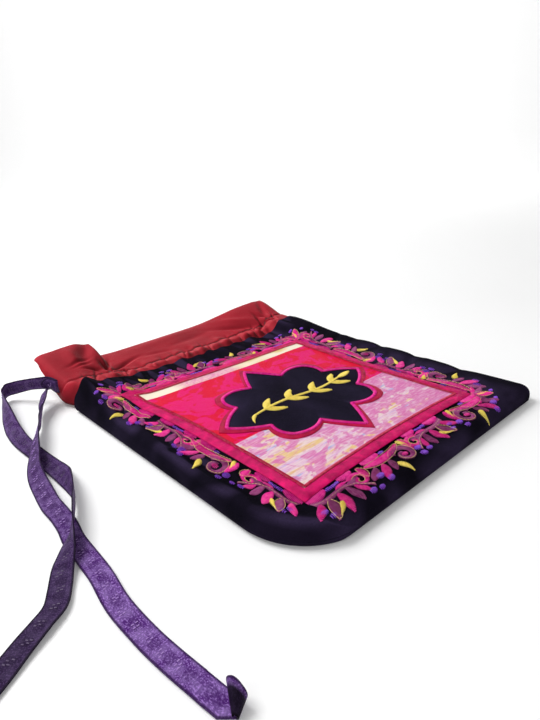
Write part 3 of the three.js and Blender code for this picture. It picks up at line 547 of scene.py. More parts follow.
def deselect():
    if bpy.context.object and bpy.context.object.mode != "OBJECT":
        bpy.ops.object.mode_set(mode="OBJECT")
    bpy.ops.object.select_all(action="DESELECT")


def points_of(piece):
    points = np.empty(len(piece.data.vertices) * 3)
    piece.data.vertices.foreach_get("co", points)
    return points.reshape(-1, 3)


def set_points(piece, points):
    piece.data.vertices.foreach_set("co", np.asarray(points, float).ravel())
    piece.data.update()


def pick(piece):
    """Makes a piece the active one and the only one that is selected."""
    deselect()
    piece.select_set(True)
    bpy.context.view_layer.objects.active = piece


def finish(piece, name, material, slot, *nodes):
    """Names, smooths and dresses a piece, and lets it stand for its nodes."""
    pick(piece)
    bpy.ops.object.shade_smooth_by_angle(angle=math.radians(SMOOTH_ANGLE))
    piece.name = name
    piece.data.name = name
    piece.data.materials.clear()
    piece.data.materials.append(material)
    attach(piece, "root")
    if nodes:
        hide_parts(*nodes)


def give_wall(piece, wall, offset=-1):
    """Makes a sheet as thick as its wall, below its face for an offset of -1 and above it for 1."""
    pick(piece)
    bpy.ops.object.modifier_add(type="SOLIDIFY")
    modifier = piece.modifiers[-1]
    modifier.thickness = wall * MM
    modifier.offset = offset
    bpy.ops.object.modifier_apply(modifier=modifier.name)


def merge_doubles(piece):
    """Merges points that share a place, and turns the faces up."""
    pick(piece)
    bpy.ops.object.mode_set(mode="EDIT")
    bpy.ops.mesh.select_all(action="SELECT")
    bpy.ops.mesh.remove_doubles(threshold=MERGE_REACH)
    bpy.ops.mesh.normals_make_consistent(inside=False)
    bpy.ops.object.mode_set(mode="OBJECT")
    if piece.data.polygons[0].normal.z < 0:
        bpy.ops.object.mode_set(mode="EDIT")
        bpy.ops.mesh.select_all(action="SELECT")
        bpy.ops.mesh.flip_normals()
        bpy.ops.object.mode_set(mode="OBJECT")


def cloth(columns, rows, place, wall=0, offset=-1):
    """A grid primitive whose points are moved to their place on a cloth, then given its wall.

    place takes each point's column and row as shares from 0 to 1 and returns millimetres."""
    deselect()
    bpy.ops.mesh.primitive_grid_add(x_subdivisions=columns, y_subdivisions=rows, size=2)
    piece = bpy.context.object
    points = points_of(piece)
    set_points(piece, place((points[:, 0] + 1) / 2, (points[:, 1] + 1) / 2) * MM)
    if wall:
        give_wall(piece, wall, offset)
    return piece


def edge_spread(share, edge):
    """Places along a width of one, closer together within an edge share at both ends."""
    t = 0.5 - 0.5 * np.cos(np.pi * share)
    return share + (t - share) * (1 - 2 * edge) * 0.75


def stack(x, y, z):
    return np.column_stack([x, y, z])


def thread_template(sides, stations):
    """One thread of unit length and radius, from a cylinder cut across at its stations."""
    deselect()
    bpy.ops.mesh.primitive_cylinder_add(vertices=sides, radius=1, depth=1)
    piece = bpy.context.object
    for share in stations:
        bpy.ops.object.mode_set(mode="EDIT")
        bpy.ops.mesh.select_all(action="SELECT")
        bpy.ops.mesh.bisect(plane_co=(0, 0, share - 0.5), plane_no=(0, 0, 1))
        bpy.ops.object.mode_set(mode="OBJECT")
    points = points_of(piece)
    faces = [list(face.vertices) for face in piece.data.polygons]
    mesh = piece.data
    bpy.data.objects.remove(piece)
    bpy.data.meshes.remove(mesh)
    return points, faces


THREAD = thread_template(4, (0.2, 0.8))


def joined_copies(name, places, faces):
    """One mesh from copies of a template: places is copies by points by three, in metres."""
    count, size, _ = places.shape
    lengths = np.array([len(face) for face in faces])
    corners = np.concatenate([np.array(face) for face in faces])
    shift = np.arange(count)[:, None] * size
    all_corners = (corners[None, :] + shift).ravel()
    all_lengths = np.tile(lengths, count)
    mesh = bpy.data.meshes.new(name)
    mesh.vertices.add(count * size)
    mesh.vertices.foreach_set("co", places.ravel())
    mesh.loops.add(len(all_corners))
    mesh.loops.foreach_set("vertex_index", all_corners.astype(np.int32))
    mesh.polygons.add(len(all_lengths))
    starts = np.concatenate([[0], np.cumsum(all_lengths)[:-1]])
    mesh.polygons.foreach_set("loop_start", starts.astype(np.int32))
    mesh.update(calc_edges=True)
    mesh.validate()
    piece = bpy.data.objects.new(name, mesh)
    bpy.context.collection.objects.link(piece)
    return piece


def lay_threads(name, threads, surface, radius):
    """Copies of one thread, each bent over a low arch from its start to its end on a surface."""
    starts, ends, arches = (np.concatenate(part) for part in zip(*threads))
    points, faces = THREAD
    share = points[:, 2] + 0.5
    run = ends - starts
    side = leftward(unit(run))
    taper = 0.55 + 0.45 * np.sqrt(np.clip(4 * share * (1 - share), 0, 1))
    flat = starts[:, None, :] + run[:, None, :] * share[None, :, None]
    flat = flat + side[:, None, :] * (points[:, 0] * radius * taper)[None, :, None]
    rise = np.clip(np.sin(np.pi * share), 0, 1) ** 0.5
    base = surface(flat[..., 0].ravel(), flat[..., 1].ravel()).reshape(flat.shape[:2])
    height = base + arches[:, None] * rise[None, :] + (points[:, 1] * radius * taper)[None, :]
    return joined_copies(name, np.dstack([flat, height]) * MM, faces)


def unit(rows):
    """Each row's direction, at a length of one."""
    return rows / np.maximum(np.linalg.norm(rows, axis=1), 1e-9)[:, None]


def leftward(ahead):
    """The way to the left of each flat direction."""
    return np.column_stack([-ahead[:, 1], ahead[:, 0]])


def marks_along(line):
    """How far along a line each of its points lies."""
    return np.concatenate([[0], np.cumsum(np.linalg.norm(np.diff(line, axis=0), axis=1))])


def at_marks(at, marks, line):
    """The points of a flat line at some of its marks, or between them."""
    return np.column_stack([np.interp(at, marks, line[:, k]) for k in range(2)])


def curve_points(points, count):
    """Evenly spaced points on a smooth line through a few."""
    points = np.asarray(points, float)
    steps, fine = np.linspace(0, 1, len(points)), np.linspace(0, 1, 200)
    line = np.column_stack([through(steps, points[:, k], fine) for k in range(2)])
    marks = marks_along(line)
    return at_marks(np.linspace(0, marks[-1], count), marks, line)


def line_length(points):
    return float(np.linalg.norm(np.diff(np.asarray(points, float), axis=0), axis=1).sum())


def normals_of(line):
    """The way to the left of a line at each of its points."""
    return leftward(unit(np.gradient(line, axis=0)))


def satin_fill(spine, half_width, slant=0.25, arch=0.55):
    """Threads laid side by side across a spine; half_width maps shares of it to millimetres."""
    count = max(4, int(line_length(spine) / size_of("thread_pitch")))
    line = curve_points(spine, count)
    share = (np.arange(count) + 0.5) / count
    wide = np.maximum(half_width(share), 0.12)
    across = normals_of(line)
    reach = across * wide[:, None] - leftward(across) * (wide * slant)[:, None]
    lift = np.minimum(0.2 + 0.3 * wide, arch)
    return line - reach, line + reach, lift


def stitched_line(points, stitch, gap=0.12, arch=0.15):
    """Stitches end to end along a line."""
    points = np.asarray(points, float)
    count = max(3, int(line_length(points) / stitch))
    marks = marks_along(points)
    line = at_marks(np.linspace(0, marks[-1], count + 1), marks, points)
    short = (line[1:] - line[:-1]) * gap / 2
    return line[:-1] + short, line[1:] - short, np.full(count, arch)


def dense_line(line, half, arch):
    """Short slanted threads side by side across a closed line."""
    closed = np.vstack([line, line[:1]])
    marks = marks_along(closed)
    even = at_marks(np.arange(0, marks[-1], size_of("thread_pitch")), marks, closed)
    looped = np.vstack([even[-1:], even, even[:1]])
    ahead = unit(looped[2:] - looped[:-2])
    reach = leftward(ahead) * half + ahead * half * 0.35
    return even - reach, even + reach, np.full(len(even), arch)


def outline(spine, half_width):
    """The edge of a filled form as one line round it."""
    line = curve_points(spine, 30)
    across = normals_of(line) * (half_width(np.linspace(0, 1, 30)) + 0.2)[:, None]
    return np.vstack([line + across, (line - across)[::-1]])


def bent_spine(foot, turn, length, bend):
    """Four points from a foot, turned in degrees and bent to the left by a share of the length."""
    angle = math.radians(turn)
    ahead = np.array([math.cos(angle), math.sin(angle)])
    side = np.array([-ahead[1], ahead[0]])
    return [foot + ahead * length * t + side * bend * length * t * t for t in (0, 0.35, 0.7, 1)]


def pointed(width, power=0.8):
    """The half width of a form that is widest in its middle, blunter for a lower power."""
    return lambda t: width * np.sin(np.pi * (t * 0.94 + 0.03)) ** power


def leaf(foot, turn, length, width, bend=0.0):
    """The spine and half width of a pointed leaf."""
    return bent_spine(foot, turn, length, bend), pointed(width)


def comma(foot, turn, length, width, bend):
    """The spine and half width of a drop that starts round and thins out as it bends."""
    return bent_spine(foot, turn, length, bend), lambda t: width * np.sin(np.pi * np.sqrt(t * 0.9 + 0.02))


def berry(centre, radius):
    """The spine and half width of a round dot."""
    spine = [centre + np.array([radius * t, 0]) for t in (-1, -0.3, 0.3, 1)]
    return spine, lambda t: radius * np.sqrt(np.clip(1 - (2 * t - 1) ** 2, 0.02, 1))


def scroll_line(centre, outer, inner, start, turns):
    """A spiral line from its outer end in, angles in degrees."""
    t = np.linspace(0, 1, 60)
    radius = outer + (inner - outer) * t ** 0.9
    angle = math.radians(start) + t * turns * 2 * math.pi
    return centre + np.column_stack([radius * np.cos(angle), radius * np.sin(angle)])


# ---------------------------------------------------------------- materials


class Look:
    """One procedural material and short ways to add its nodes."""

    def __init__(self, name, colour, roughness, specular, sheen=0.0, sheen_roughness=0.4, tint=WHITE):
        self.material = bpy.data.materials.new(name)
        self.material.use_nodes = True
        self.tree = self.material.node_tree
        self.shader = self.tree.nodes["Principled BSDF"]
        settings = {
            "Base Color": colour, "Roughness": roughness, "Specular IOR Level": specular,
            "Sheen Weight": sheen, "Sheen Roughness": sheen_roughness, "Sheen Tint": tint,
        }
        for key, value in settings.items():
            self.feed(self.shader.inputs[key], value)
        self.place = self.node("ShaderNodeTexCoord").outputs["Object"]

    def feed(self, socket, value):
        """Gives a socket a link, or a plain number, direction or colour."""
        if isinstance(value, bpy.types.NodeSocket):
            self.tree.links.new(value, socket)
        else:
            socket.default_value = (*value, 1) if socket.type == "RGBA" else value

    def node(self, kind, *inputs, **values):
        """Adds a node; inputs are fed in order, and values go to settings or inputs by name."""
        made = self.tree.nodes.new(kind)
        for key, value in values.items():
            if hasattr(made, key):
                setattr(made, key, value)
            else:
                made.inputs[key.title()].default_value = value
        for socket, value in zip(made.inputs, inputs):
            if value is not None:
                self.feed(socket, value)
        return made

    def scaled(self, x, y, place=None):
        """The place, with its first two axes scaled."""
        return self.node("ShaderNodeMapping", place or self.place, scale=(x, y, 1)).outputs[0]

    def noise(self, scale, detail=2.0, distortion=0.0, place=None):
        values = {"scale": scale, "detail": detail, "distortion": distortion}
        return self.node("ShaderNodeTexNoise", place or self.place, **values).outputs["Fac"]

    def wave(self, scale, direction, distortion=0.0):
        values = {"bands_direction": direction, "scale": scale, "distortion": distortion, "detail": 1}
        return self.node("ShaderNodeTexWave", self.place, **values).outputs["Fac"]

    def ramp(self, link, *stops):
        """A colour ramp; each stop is a place and a colour or a grey."""
        made = self.node("ShaderNodeValToRGB", link)
        elements = made.color_ramp.elements
        while len(elements) < len(stops):
            elements.new(0.5)
        for element, (place, colour) in zip(elements, stops):
            element.position = place
            element.color = (*colour, 1) if isinstance(colour, tuple) else (colour, colour, colour, 1)
        return made.outputs["Color"]

    def math(self, operation, a, b=0.0):
        """Works on a link and another link or a number."""
        return self.node("ShaderNodeMath", a, b, operation=operation).outputs[0]

    def times(self, a, b):
        return self.math("MULTIPLY", a, b)

    def plus(self, a, b):
        return self.math("ADD", a, b)

    def mix(self, factor, a, b):
        """Mixes two colours, each a link or a plain colour."""
        made = self.node("ShaderNodeMix", factor, data_type="RGBA")
        self.feed(made.inputs[6], a)
        self.feed(made.inputs[7], b)
        return made.outputs[2]

    def colour(self, link):
        self.feed(self.shader.inputs["Base Color"], link)

    def bump(self, height, distance, strength):
        """Fine relief, at a depth in millimetres."""
        made = self.node("ShaderNodeBump", strength=strength, distance=distance * MM)
        self.feed(made.inputs["Height"], height)
        self.feed(self.shader.inputs["Normal"], made.outputs[0])

    def slope(self, *direction):
        """How far the surface faces a direction in the pouch's frame."""
        normal = self.node("ShaderNodeTexCoord").outputs["Normal"]
        return self.node("ShaderNodeVectorMath", normal, direction, operation="DOT_PRODUCT").outputs["Value"]

    def weave(self, pitch):
        """Warp and weft over and under each other, at a pitch in millimetres."""
        scale = 1 / (pitch * MM) / 3.2
        return self.math("MAXIMUM", self.wave(scale, "X"), self.wave(scale, "Y"))


def darker(colour, share):
    """A colour at a share of its light."""
    return tuple(c * share for c in colour)


def towards(colour, other, share):
    """A colour part of the way to another."""
    return tuple(a + (b - a) * share for a, b in zip(colour, other))


def velvet_material(name="velvet_pile", share=1.0):
    """Dark pile with a highlight painted where it slopes to the light; share lightens all of it."""
    colour = darker(dyed("velvet"), share)
    look = Look(name, colour, 0.95, 0.03, sheen=0.12, sheen_roughness=0.3, tint=linear(104, 80, 132))
    lay = look.noise(16, 3, 0.6)
    fine = look.noise(900)
    shade = look.ramp(lay, (0.32, darker(colour, 0.30)), (0.70, darker(colour, 1.45)))
    # Painted highlight: a lighter colour where the surface slopes towards the light, broken into patches.
    blurred = look.plus(look.slope(-0.66, -0.10, 0.0), look.times(lay, 0.10))
    lit = look.ramp(blurred, (0.04, 0.0), (0.13, 0.8), (0.28, 1.0), (0.50, 0.25))
    patches = look.ramp(look.noise(26, 2, 0.5), (0.42, 0.12), (0.60, 1.0))
    painted_slope_highlight = look.mix(look.times(lit, patches), shade, linear(50, 40, 66))
    speck = look.times(look.ramp(fine, (0.35, 0.0), (0.75, 1.0)), 0.3)
    look.colour(look.mix(speck, painted_slope_highlight, darker(colour, 2.2)))
    look.bump(look.noise(1400), 0.35, 0.8)
    return look.material


def satin_material(name, colour, pitch=0.3, roughness=0.45, patch=160, low=0.5, slopes=False):
    """Close-woven satin; with slopes, painted shade and a painted highlight follow how it faces the light."""
    look = Look(name, colour, roughness, 0.06, sheen=0.05, tint=towards(colour, WHITE, 0.2))
    tone = look.noise(patch, 3, 0.4)
    shade = look.ramp(tone, (0.25, darker(colour, low)), (0.75, darker(colour, 1.12)))
    weave = look.weave(pitch)
    woven = look.mix(look.times(weave, 0.22), shade, darker(colour, 0.70))
    if slopes:
        # Painted light: shade and a highlight set by how far the surface faces the light.
        lean = look.slope(-0.50, 0.45, 0.74)
        shadow = look.ramp(lean, (0.10, 1.0), (0.62, 0.18), (0.76, 0.0))
        woven = look.mix(shadow, woven, darker(colour, 0.30))
        painted_highlight = look.ramp(lean, (0.80, 0.0), (0.98, 0.42))
        woven = look.mix(painted_highlight, woven, towards(colour, linear(224, 96, 104), 0.8))
    look.colour(woven)
    wrinkles = look.times(look.noise(130, 3, 0.8), 12.0)
    look.bump(look.plus(weave, wrinkles), 0.05, 0.7)
    return look.material


def thread_material(name, colour):
    """Glossy embroidery thread."""
    look = Look(name, colour, 0.42, 0.12)
    stops = (0.3, darker(colour, 0.86)), (0.7, towards(colour, WHITE, 0.06))
    look.colour(look.ramp(look.noise(420), *stops))
    look.bump(look.noise(2600, 1), 0.06, 0.6)
    return look.material


def jacquard_material():
    """Red cloth with a woven pattern of pink petals."""
    red, pink = linear(228, 0, 36), linear(236, 14, 124)
    look = Look("red_jacquard", red, 0.5, 0.07)
    swirl = look.noise(42, 3.5, 1.8)
    petals = look.noise(95, 2.0, 0.8)
    shape = look.plus(look.times(swirl, 0.62), look.times(petals, 0.38))
    ground = look.ramp(
        shape, (0.0, red), (0.49, towards(red, pink, 0.15)), (0.53, pink), (0.62, towards(pink, red, 0.2)),
        (0.68, red),
    )
    weave = look.weave(0.42)
    look.colour(look.mix(look.times(weave, 0.3), ground, darker(red, 0.62)))
    look.bump(look.plus(weave, look.times(shape, 1.5)), 0.12, 0.6)
    return look.material


def brocade_material():
    """Pale cloth in bands of colour, with woven orchid motifs and loose floats."""
    cream, gold, blue = linear(234, 214, 210), linear(232, 200, 132), linear(160, 190, 226)
    lilac, orchid = linear(224, 178, 218), linear(214, 92, 172)
    look = Look("pastel_brocade", cream, 0.5, 0.07)
    bands = look.noise(230, 1.0, 0.1, look.scaled(0.075, 1))
    across = look.node("ShaderNodeSeparateXYZ", look.place).outputs[0]
    bands = look.plus(bands, look.times(across, 0.55))
    ground = look.ramp(
        bands, (0.31, gold), (0.35, gold), (0.38, cream), (0.45, cream), (0.50, lilac), (0.55, cream),
        (0.60, lilac), (0.63, blue), (0.67, blue), (0.70, cream),
    )
    curls = look.noise(62, 3.5, 1.6)
    blocks = look.noise(120, 2.0, 0.4, look.scaled(0.6, 1.25))
    motif = look.plus(look.times(curls, 0.65), look.times(blocks, 0.35))
    motif = look.plus(motif, look.times(across, 0.7))
    mask = look.ramp(motif, (0.450, 0.0), (0.475, 0.85), (0.60, 1.0))
    weft = look.wave(300, "Y", 0.8)
    lines = look.ramp(weft, (0.55, 0.0), (0.80, 1.0))
    petal = look.mix(lines, orchid, towards(orchid, cream, 0.45))
    woven = look.mix(mask, ground, petal)
    floats = look.noise(900, 1, place=look.scaled(0.16, 1))
    woven = look.mix(look.ramp(floats, (0.48, 0.0), (0.64, 0.42)), woven, linear(240, 214, 226))
    sunk = look.noise(1100, 1, place=look.scaled(0.22, 1))
    woven = look.mix(look.ramp(sunk, (0.52, 0.0), (0.66, 0.36)), woven, linear(206, 88, 150))
    look.colour(look.mix(look.times(weft, 0.20), woven, darker(orchid, 0.55)))
    look.bump(look.plus(mask, look.times(weft, 0.6)), 0.14, 0.6)
    return look.material


def stripe_material():
    """Cream cloth with a rose tint in its middle."""
    cream, rose = linear(242, 230, 208), linear(222, 132, 176)
    look = Look("cream_stripe", cream, 0.5, 0.07)
    across = look.node("ShaderNodeSeparateXYZ", look.place).outputs[0]
    along = look.times(look.plus(across, 0.1), 5.0)
    middle = look.ramp(along, (0.18, 0.0), (0.24, 1.0), (0.44, 1.0), (0.50, 0.0))
    dots = look.ramp(look.noise(800, 1), (0.40, 0.45), (0.60, 0.95))
    fleck = look.noise(55, 1.0, 0.3, look.scaled(0.4, 1))
    fleck = look.ramp(fleck, (0.40, linear(226, 196, 132)), (0.52, cream))
    look.colour(look.mix(look.times(middle, dots), fleck, rose))
    look.bump(look.wave(230, "Y"), 0.10, 0.6)
    return look.material


def ribbon_material(name, length, *tones, lit_edge=0.0):
    """Ribbed ribbon with dark selvedges, read from its own map.

    Each tone is a share of the ribbon's length and half of its brightness there."""
    colour = dyed("ribbon")
    look = Look(name, colour, 0.5, 0.06)
    own = look.node("ShaderNodeUVMap", uv_map="UVMap").outputs[0]
    look.place = look.scaled(RIBBON_WIDTH, length / MM, own)
    parts = look.node("ShaderNodeSeparateXYZ", own)
    edge = look.math("ABSOLUTE", look.math("SUBTRACT", parts.outputs[0], 0.5))
    selvedge = look.ramp(edge, (0.405, 0.0), (0.455, 1.0))
    ribs = look.wave(0.55, "Y")
    tone = look.noise(0.22)
    fleck = look.noise(1.5)
    shade = look.ramp(tone, (0.35, darker(colour, 0.55)), (0.65, towards(colour, WHITE, 0.06)))
    # Painted glints: light flecks of a paler purple.
    glint = towards(colour, linear(188, 150, 226), 0.6)
    light = look.mix(look.ramp(fleck, (0.50, 0.0), (0.64, 0.5)), shade, glint)
    ribbed = look.mix(look.times(ribs, 0.25), light, darker(colour, 0.6))
    middle = look.ramp(edge, (0.19, 1.0), (0.26, 0.0))
    bars = look.ramp(look.wave(0.033, "Y"), (0.50, 0.22), (0.68, 0.75))
    broken = look.ramp(look.noise(1.1, 1), (0.40, 0.25), (0.56, 1.0))
    bars = look.times(look.times(bars, middle), broken)
    ribbed = look.mix(bars, ribbed, darker(colour, 0.40))
    edged = look.mix(look.times(selvedge, 0.85), ribbed, darker(colour, 0.16))
    tone = look.ramp(parts.outputs[1], *tones)
    # lit_edge paints a highlight along one long edge.
    if lit_edge:
        tone = look.math("MAXIMUM", tone, look.ramp(parts.outputs[0], (0.12, lit_edge), (0.30, 0.0)))
    tone = look.times(tone, 2.0)
    look.colour(look.node("ShaderNodeVectorMath", edged, None, None, tone, operation="SCALE").outputs[0])
    look.bump(look.plus(ribs, look.times(fleck, 0.8)), 0.10, 0.6)
    return look.material


def ribbon_back_material():
    """The ribbon's shaded back."""
    colour = darker(dyed("ribbon"), 0.30)
    look = Look("ribbon_back", colour, 0.5, 0.4)
    look.colour(look.ramp(look.noise(160), (0.3, darker(colour, 0.35)), (0.75, darker(colour, 1.5))))
    look.bump(look.noise(1500, 1), 0.08, 0.5)
    return look.material


# ---------------------------------------------------------------- pieces


class POUCH_OT_stage(bpy.types.Operator):
    """Camera, pale floor and soft lights"""

    bl_idname = "pouch.stage"
    bl_label = "Stage"

    # Camera, in metres and radians, in the pouch's frame.
    place = (-0.262586, -0.250927, 0.185288)
    heading = (0.6811, 0.7322)
    pitch = 0.3858
    tilt = -0.0273

    def execute(self, context):
        data = bpy.data.cameras.new("camera")
        data.lens = context.scene.pouch_sizes.camera_lens
        data.sensor_width = 36
        data.clip_start = 0.01
        camera = bpy.data.objects.new("camera", data)
        context.collection.objects.link(camera)
        hx, hy = self.heading
        cos_p, sin_p = math.cos(self.pitch), math.sin(self.pitch)
        level = np.array([hy, -hx, 0.0])
        up = np.array([hx * sin_p, hy * sin_p, cos_p])
        ahead = np.array([hx * cos_p, hy * cos_p, -sin_p])
        right = math.cos(self.tilt) * level + math.sin(self.tilt) * up
        above = -math.sin(self.tilt) * level + math.cos(self.tilt) * up
        rows = [[right[i], above[i], -ahead[i], self.place[i]] for i in range(3)]
        camera.matrix_world = Matrix(rows + [[0, 0, 0, 1]])
        context.scene.camera = camera

        def backdrop(across, along):
            wide = (across - 0.5) * FLOOR_WIDTH
            run = along * FLOOR_RUN - FLOOR_BEFORE
            past = np.clip(run - FLOOR_LEVEL, 0, None)
            turn = np.clip(past / FLOOR_BEND, 0, math.pi / 2)
            beyond = np.clip(past - FLOOR_BEND * math.pi / 2, 0, None)
            run = np.where(run < FLOOR_LEVEL, run, FLOOR_LEVEL + FLOOR_BEND * np.sin(turn))
            rise = FLOOR_BEND * (1 - np.cos(turn)) + beyond - FLOOR_DROP
            return stack(run * hx + wide * hy, run * hy - wide * hx, rise) / MM

        floor = cloth(4, 110, backdrop)
        floor.name = "floor"
        bpy.ops.object.shade_smooth()
        pale = Look("floor", (0.90, 0.90, 0.90), 0.8, 0.1)
        for key, value in (("Emission Color", WHITE), ("Emission Strength", 0.12)):
            pale.feed(pale.shader.inputs[key], value)
        pale.colour(pale.ramp(pale.noise(3), (0.2, 0.895), (0.8, 0.91)))
        floor.data.materials.append(pale.material)

        world = bpy.data.worlds.new("studio")
        world.use_nodes = True
        nodes, links = world.node_tree.nodes, world.node_tree.links
        parts = nodes.new("ShaderNodeSeparateXYZ")
        glow = nodes.new("ShaderNodeValToRGB")
        for element, position, grey in zip(glow.color_ramp.elements, (0.12, 0.40), (0.85, 0.30)):
            element.position = position
            element.color = (grey, grey, grey, 1)
        links.new(nodes.new("ShaderNodeTexCoord").outputs["Generated"], parts.inputs[0])
        links.new(parts.outputs[2], glow.inputs[0])
        links.new(glow.outputs[0], nodes["Background"].inputs[0])
        context.scene.world = world
        # Each light: its place, what it points at, its size, and its share of the power.
        lights = [
            ("key", (-0.45, 0.65, 1.05), (0, 0, 0), 0.7, 1.0),
            ("side", (-1.0, -0.1, 0.5), (0, 0, 0), 0.6, 0.12),
            ("front", (0.6, -0.8, 0.9), (0, 0, 0), 0.8, 0.05),
            ("wash", (1.0, 1.1, 2.6), (3.0, 3.3, 1.2), 2.0, 5.5),
        ]
        for name, place, target, size, share in lights:
            light = bpy.data.lights.new(name, "AREA")
            light.size = size
            light.energy = context.scene.pouch_sizes.light_power * share
            lamp = bpy.data.objects.new(name, light)
            lamp.location = place
            direction = np.array(target) - np.array(place)
            lamp.rotation_euler = (
                math.atan2(math.hypot(direction[0], direction[1]), -direction[2]),
                0,
                math.atan2(direction[0], -direction[1]) + math.pi,
            )
            context.collection.objects.link(lamp)
        context.scene.view_settings.view_transform = "Standard"
        return {"FINISHED"}


def ribbon_route(rows, parts=8):
    """Fine stations along a tail: middles, ways ahead and rolls, by the curve of the solids."""
    rows = np.array(rows, float)
    points = rows[:, :3]
    ends = [2 * points[0] - points[1], *points, 2 * points[-1] - points[-2]]
    places, heading, rolls = [], [], []
    for i in range(1, len(ends) - 2):
        before, start, end, after = ends[i - 1:i + 3]
        pairs = ((before, start), (start, end), (end, after))
        first, gap, last = (max(np.linalg.norm(b - a) ** 0.5, 1e-6) for a, b in pairs)
        lead = (start - before) / first - (end - before) / (first + gap) + (end - start) / gap
        trail = (end - start) / gap - (after - start) / (gap + last) + (after - end) / last
        lead, trail = lead * gap, trail * gap
        square = -3 * start + 3 * end - 2 * lead - trail
        cube = 2 * start - 2 * end + lead + trail
        for k in range(parts + (i == len(ends) - 3)):
            t = k / parts
            places.append(start + lead * t + square * t * t + cube * t ** 3)
            heading.append(lead + 2 * square * t + 3 * cube * t * t)
            rolls.append(i - 1 + t)
    turns = through(np.arange(len(rows)), rows[:, 3], np.array(rolls))
    return np.array(places), unit(np.array(heading)), np.radians(turns)


def ribbon_frames(route):
    """The ribbon's side and facing at each station."""
    _, heading, turns = route
    level = np.cross(heading[0], UP)
    sides = []
    for ahead, turn in zip(heading, turns):
        flat = np.cross(ahead, UP)
        if np.linalg.norm(flat) > 0.2:
            level = flat / np.linalg.norm(flat) * (-1 if flat @ level < 0 else 1)
        sides.append(level * math.cos(turn) + np.cross(ahead, level) * math.sin(turn))
    sides = np.array(sides)
    return sides, np.cross(sides, heading)


def ribbon_strip(rows, seed):
    """A tail along its route, cupped and rippled a little, and the stations that it follows."""
    route = ribbon_route(rows)
    places = route[0]
    sides, facing = ribbon_frames(route)
    count = len(places) - 1

    def place(across, along):
        i = np.rint(along * count).astype(int)
        out = (across - 0.5)[:, None] * RIBBON_WIDTH * MM
        cup = ((across - 0.5) ** 2 * 1.2 - 0.12)[:, None] * MM
        ripple = 0.10 * np.sin(along * 95 + seed) * np.sin(across * 5)
        lift = RIBBON_THICK / 2 * MM + cup + ripple[:, None] * MM
        return (places[i] + sides[i] * out + facing[i] * lift) / MM

    return cloth(8, count, place, RIBBON_WALL), places


def ribbon_end(rows):
    """A tail's cut end: flat for a little, then curled up and back in a cone."""
    last, before = np.array(rows[-1][:3]), np.array(rows[-2][:3])
    ahead = (last - before) * (1, 1, 0)
    ahead = ahead / np.linalg.norm(ahead)
    out = np.cross(UP, ahead)
    width = RIBBON_WIDTH * MM
    cut = np.array(CUT_END)
    marks, steps = np.linspace(0, 1, len(cut)), np.linspace(0, 1, 10)
    left, right = (
        [last + ahead * a * width + out * o * width for a, o in at_marks(steps, marks, edge)]
        for edge in (cut[:, :2], cut[:, 2:])
    )
    facing = [UP] * len(left)
    foot_left, foot_right = left[-1], right[-1]
    for turn in np.radians(np.linspace(0, CURL_TURN, 25)[1:]):
        sway, lift = math.sin(turn), 1 - math.cos(turn)
        left.append(foot_left + (ahead * sway + UP * lift) * CURL_TIP * MM)
        right.append(foot_right + (ahead * sway + UP * lift) * CURL_RADIUS * MM)
        facing.append(UP * math.cos(turn) - ahead * sway)
    left, right, facing = np.array(left), np.array(right), np.array(facing)
    count = len(left) - 1

    def place(across, along):
        i = np.rint(along * count).astype(int)
        share = across[:, None]
        return (right[i] * (1 - share) + left[i] * share + facing[i] * RIBBON_THICK / 2 * MM) / MM

    return cloth(8, count, place, RIBBON_WALL)


class POUCH_OT_ribbons(bpy.types.Operator):
    """The two free tails of the ribbon, their cut ends and the run inside the casing"""

    bl_idname = "pouch.ribbons"
    bl_label = "Ribbons"

    def execute(self, context):
        # Each tail: its route, its length in metres, where its ripple starts, and its tones. Tail a turns darker
        # along its second half, tail b lighter.
        tails = (
            ("a", TAIL_A, 0.338, 0.0, ((0.0, 0.40), (0.36, 0.42), (0.60, 0.35), (0.90, 0.19))),
            ("b", TAIL_B, 0.294, 2.0, ((0.0, 0.40), (0.45, 0.42), (0.65, 0.66), (0.85, 0.90))),
        )
        for name, rows, length, seed, tones in tails:
            last = tones[-1][1]
            material = ribbon_material(f"ribbon_cloth_{name}", length, *tones)
            # The curl past the flat part is painted nearly black as shade, and its outer rim is painted lit.
            curl_painted_shade = ((0.30, last), (0.38, 0.05))
            end_material = ribbon_material(f"ribbon_end_{name}", 0.034, *curl_painted_shade, lit_edge=last * 0.7)
            end, (tail, path) = ribbon_end(rows), ribbon_strip(rows, seed)
            finish(end, f"cut_end_{name}", end_material, "ribbon", f"ribbon_end_{name}")
            finish(tail, f"tail_{name}", material, "ribbon", f"ribbon_tail_{name}")
            dots = ribbon_dots(rows, f"ribbon_dots_{name}", last)
        back = ribbon_back_material()
        for name in ("drawstring_front", "drawstring_back"):
            materials = bpy.data.objects[name].data.materials
            materials.clear()
            materials.append(back)
        return {"FINISHED"}


def ribbon_dots(rows, name, tone):
    """Small woven dots in fours along the ribbon, each a low thread over its face."""
    route = ribbon_route(rows, 24)
    places, heading = route[:2]
    sides, facing = ribbon_frames(route)
    lengths = marks_along(places) / MM
    cluster = [(-1.2, -0.9), (-0.5, 1.0), (0.9, -0.4), (1.5, 1.3)]
    points, faces = THREAD
    copies = []
    for k, at in enumerate(np.arange(6, lengths[-1] - 4, 9.5)):
        for along, across in cluster:
            i = int(np.searchsorted(lengths, at + along + 0.4 * math.sin(k * 1.7)))
            i = min(i, len(places) - 1)
            centre = places[i] + sides[i] * (across + 0.8 * math.sin(k * 2.3)) * MM
            reach = points[:, 2:3] * 1.2 * MM * sides[i] + points[:, 0:1] * 0.30 * MM * heading[i]
            for face in (1, -1):
                height = (RIBBON_THICK * 0.45 + 0.08) * face + points[:, 1:2] * 0.16
                copies.append(centre + reach + height * MM * facing[i])
    piece = joined_copies(name, np.array(copies), faces)
    finish(piece, name, thread_material(name, darker(linear(164, 124, 200), tone * 1.1)), "ribbon")
    return piece


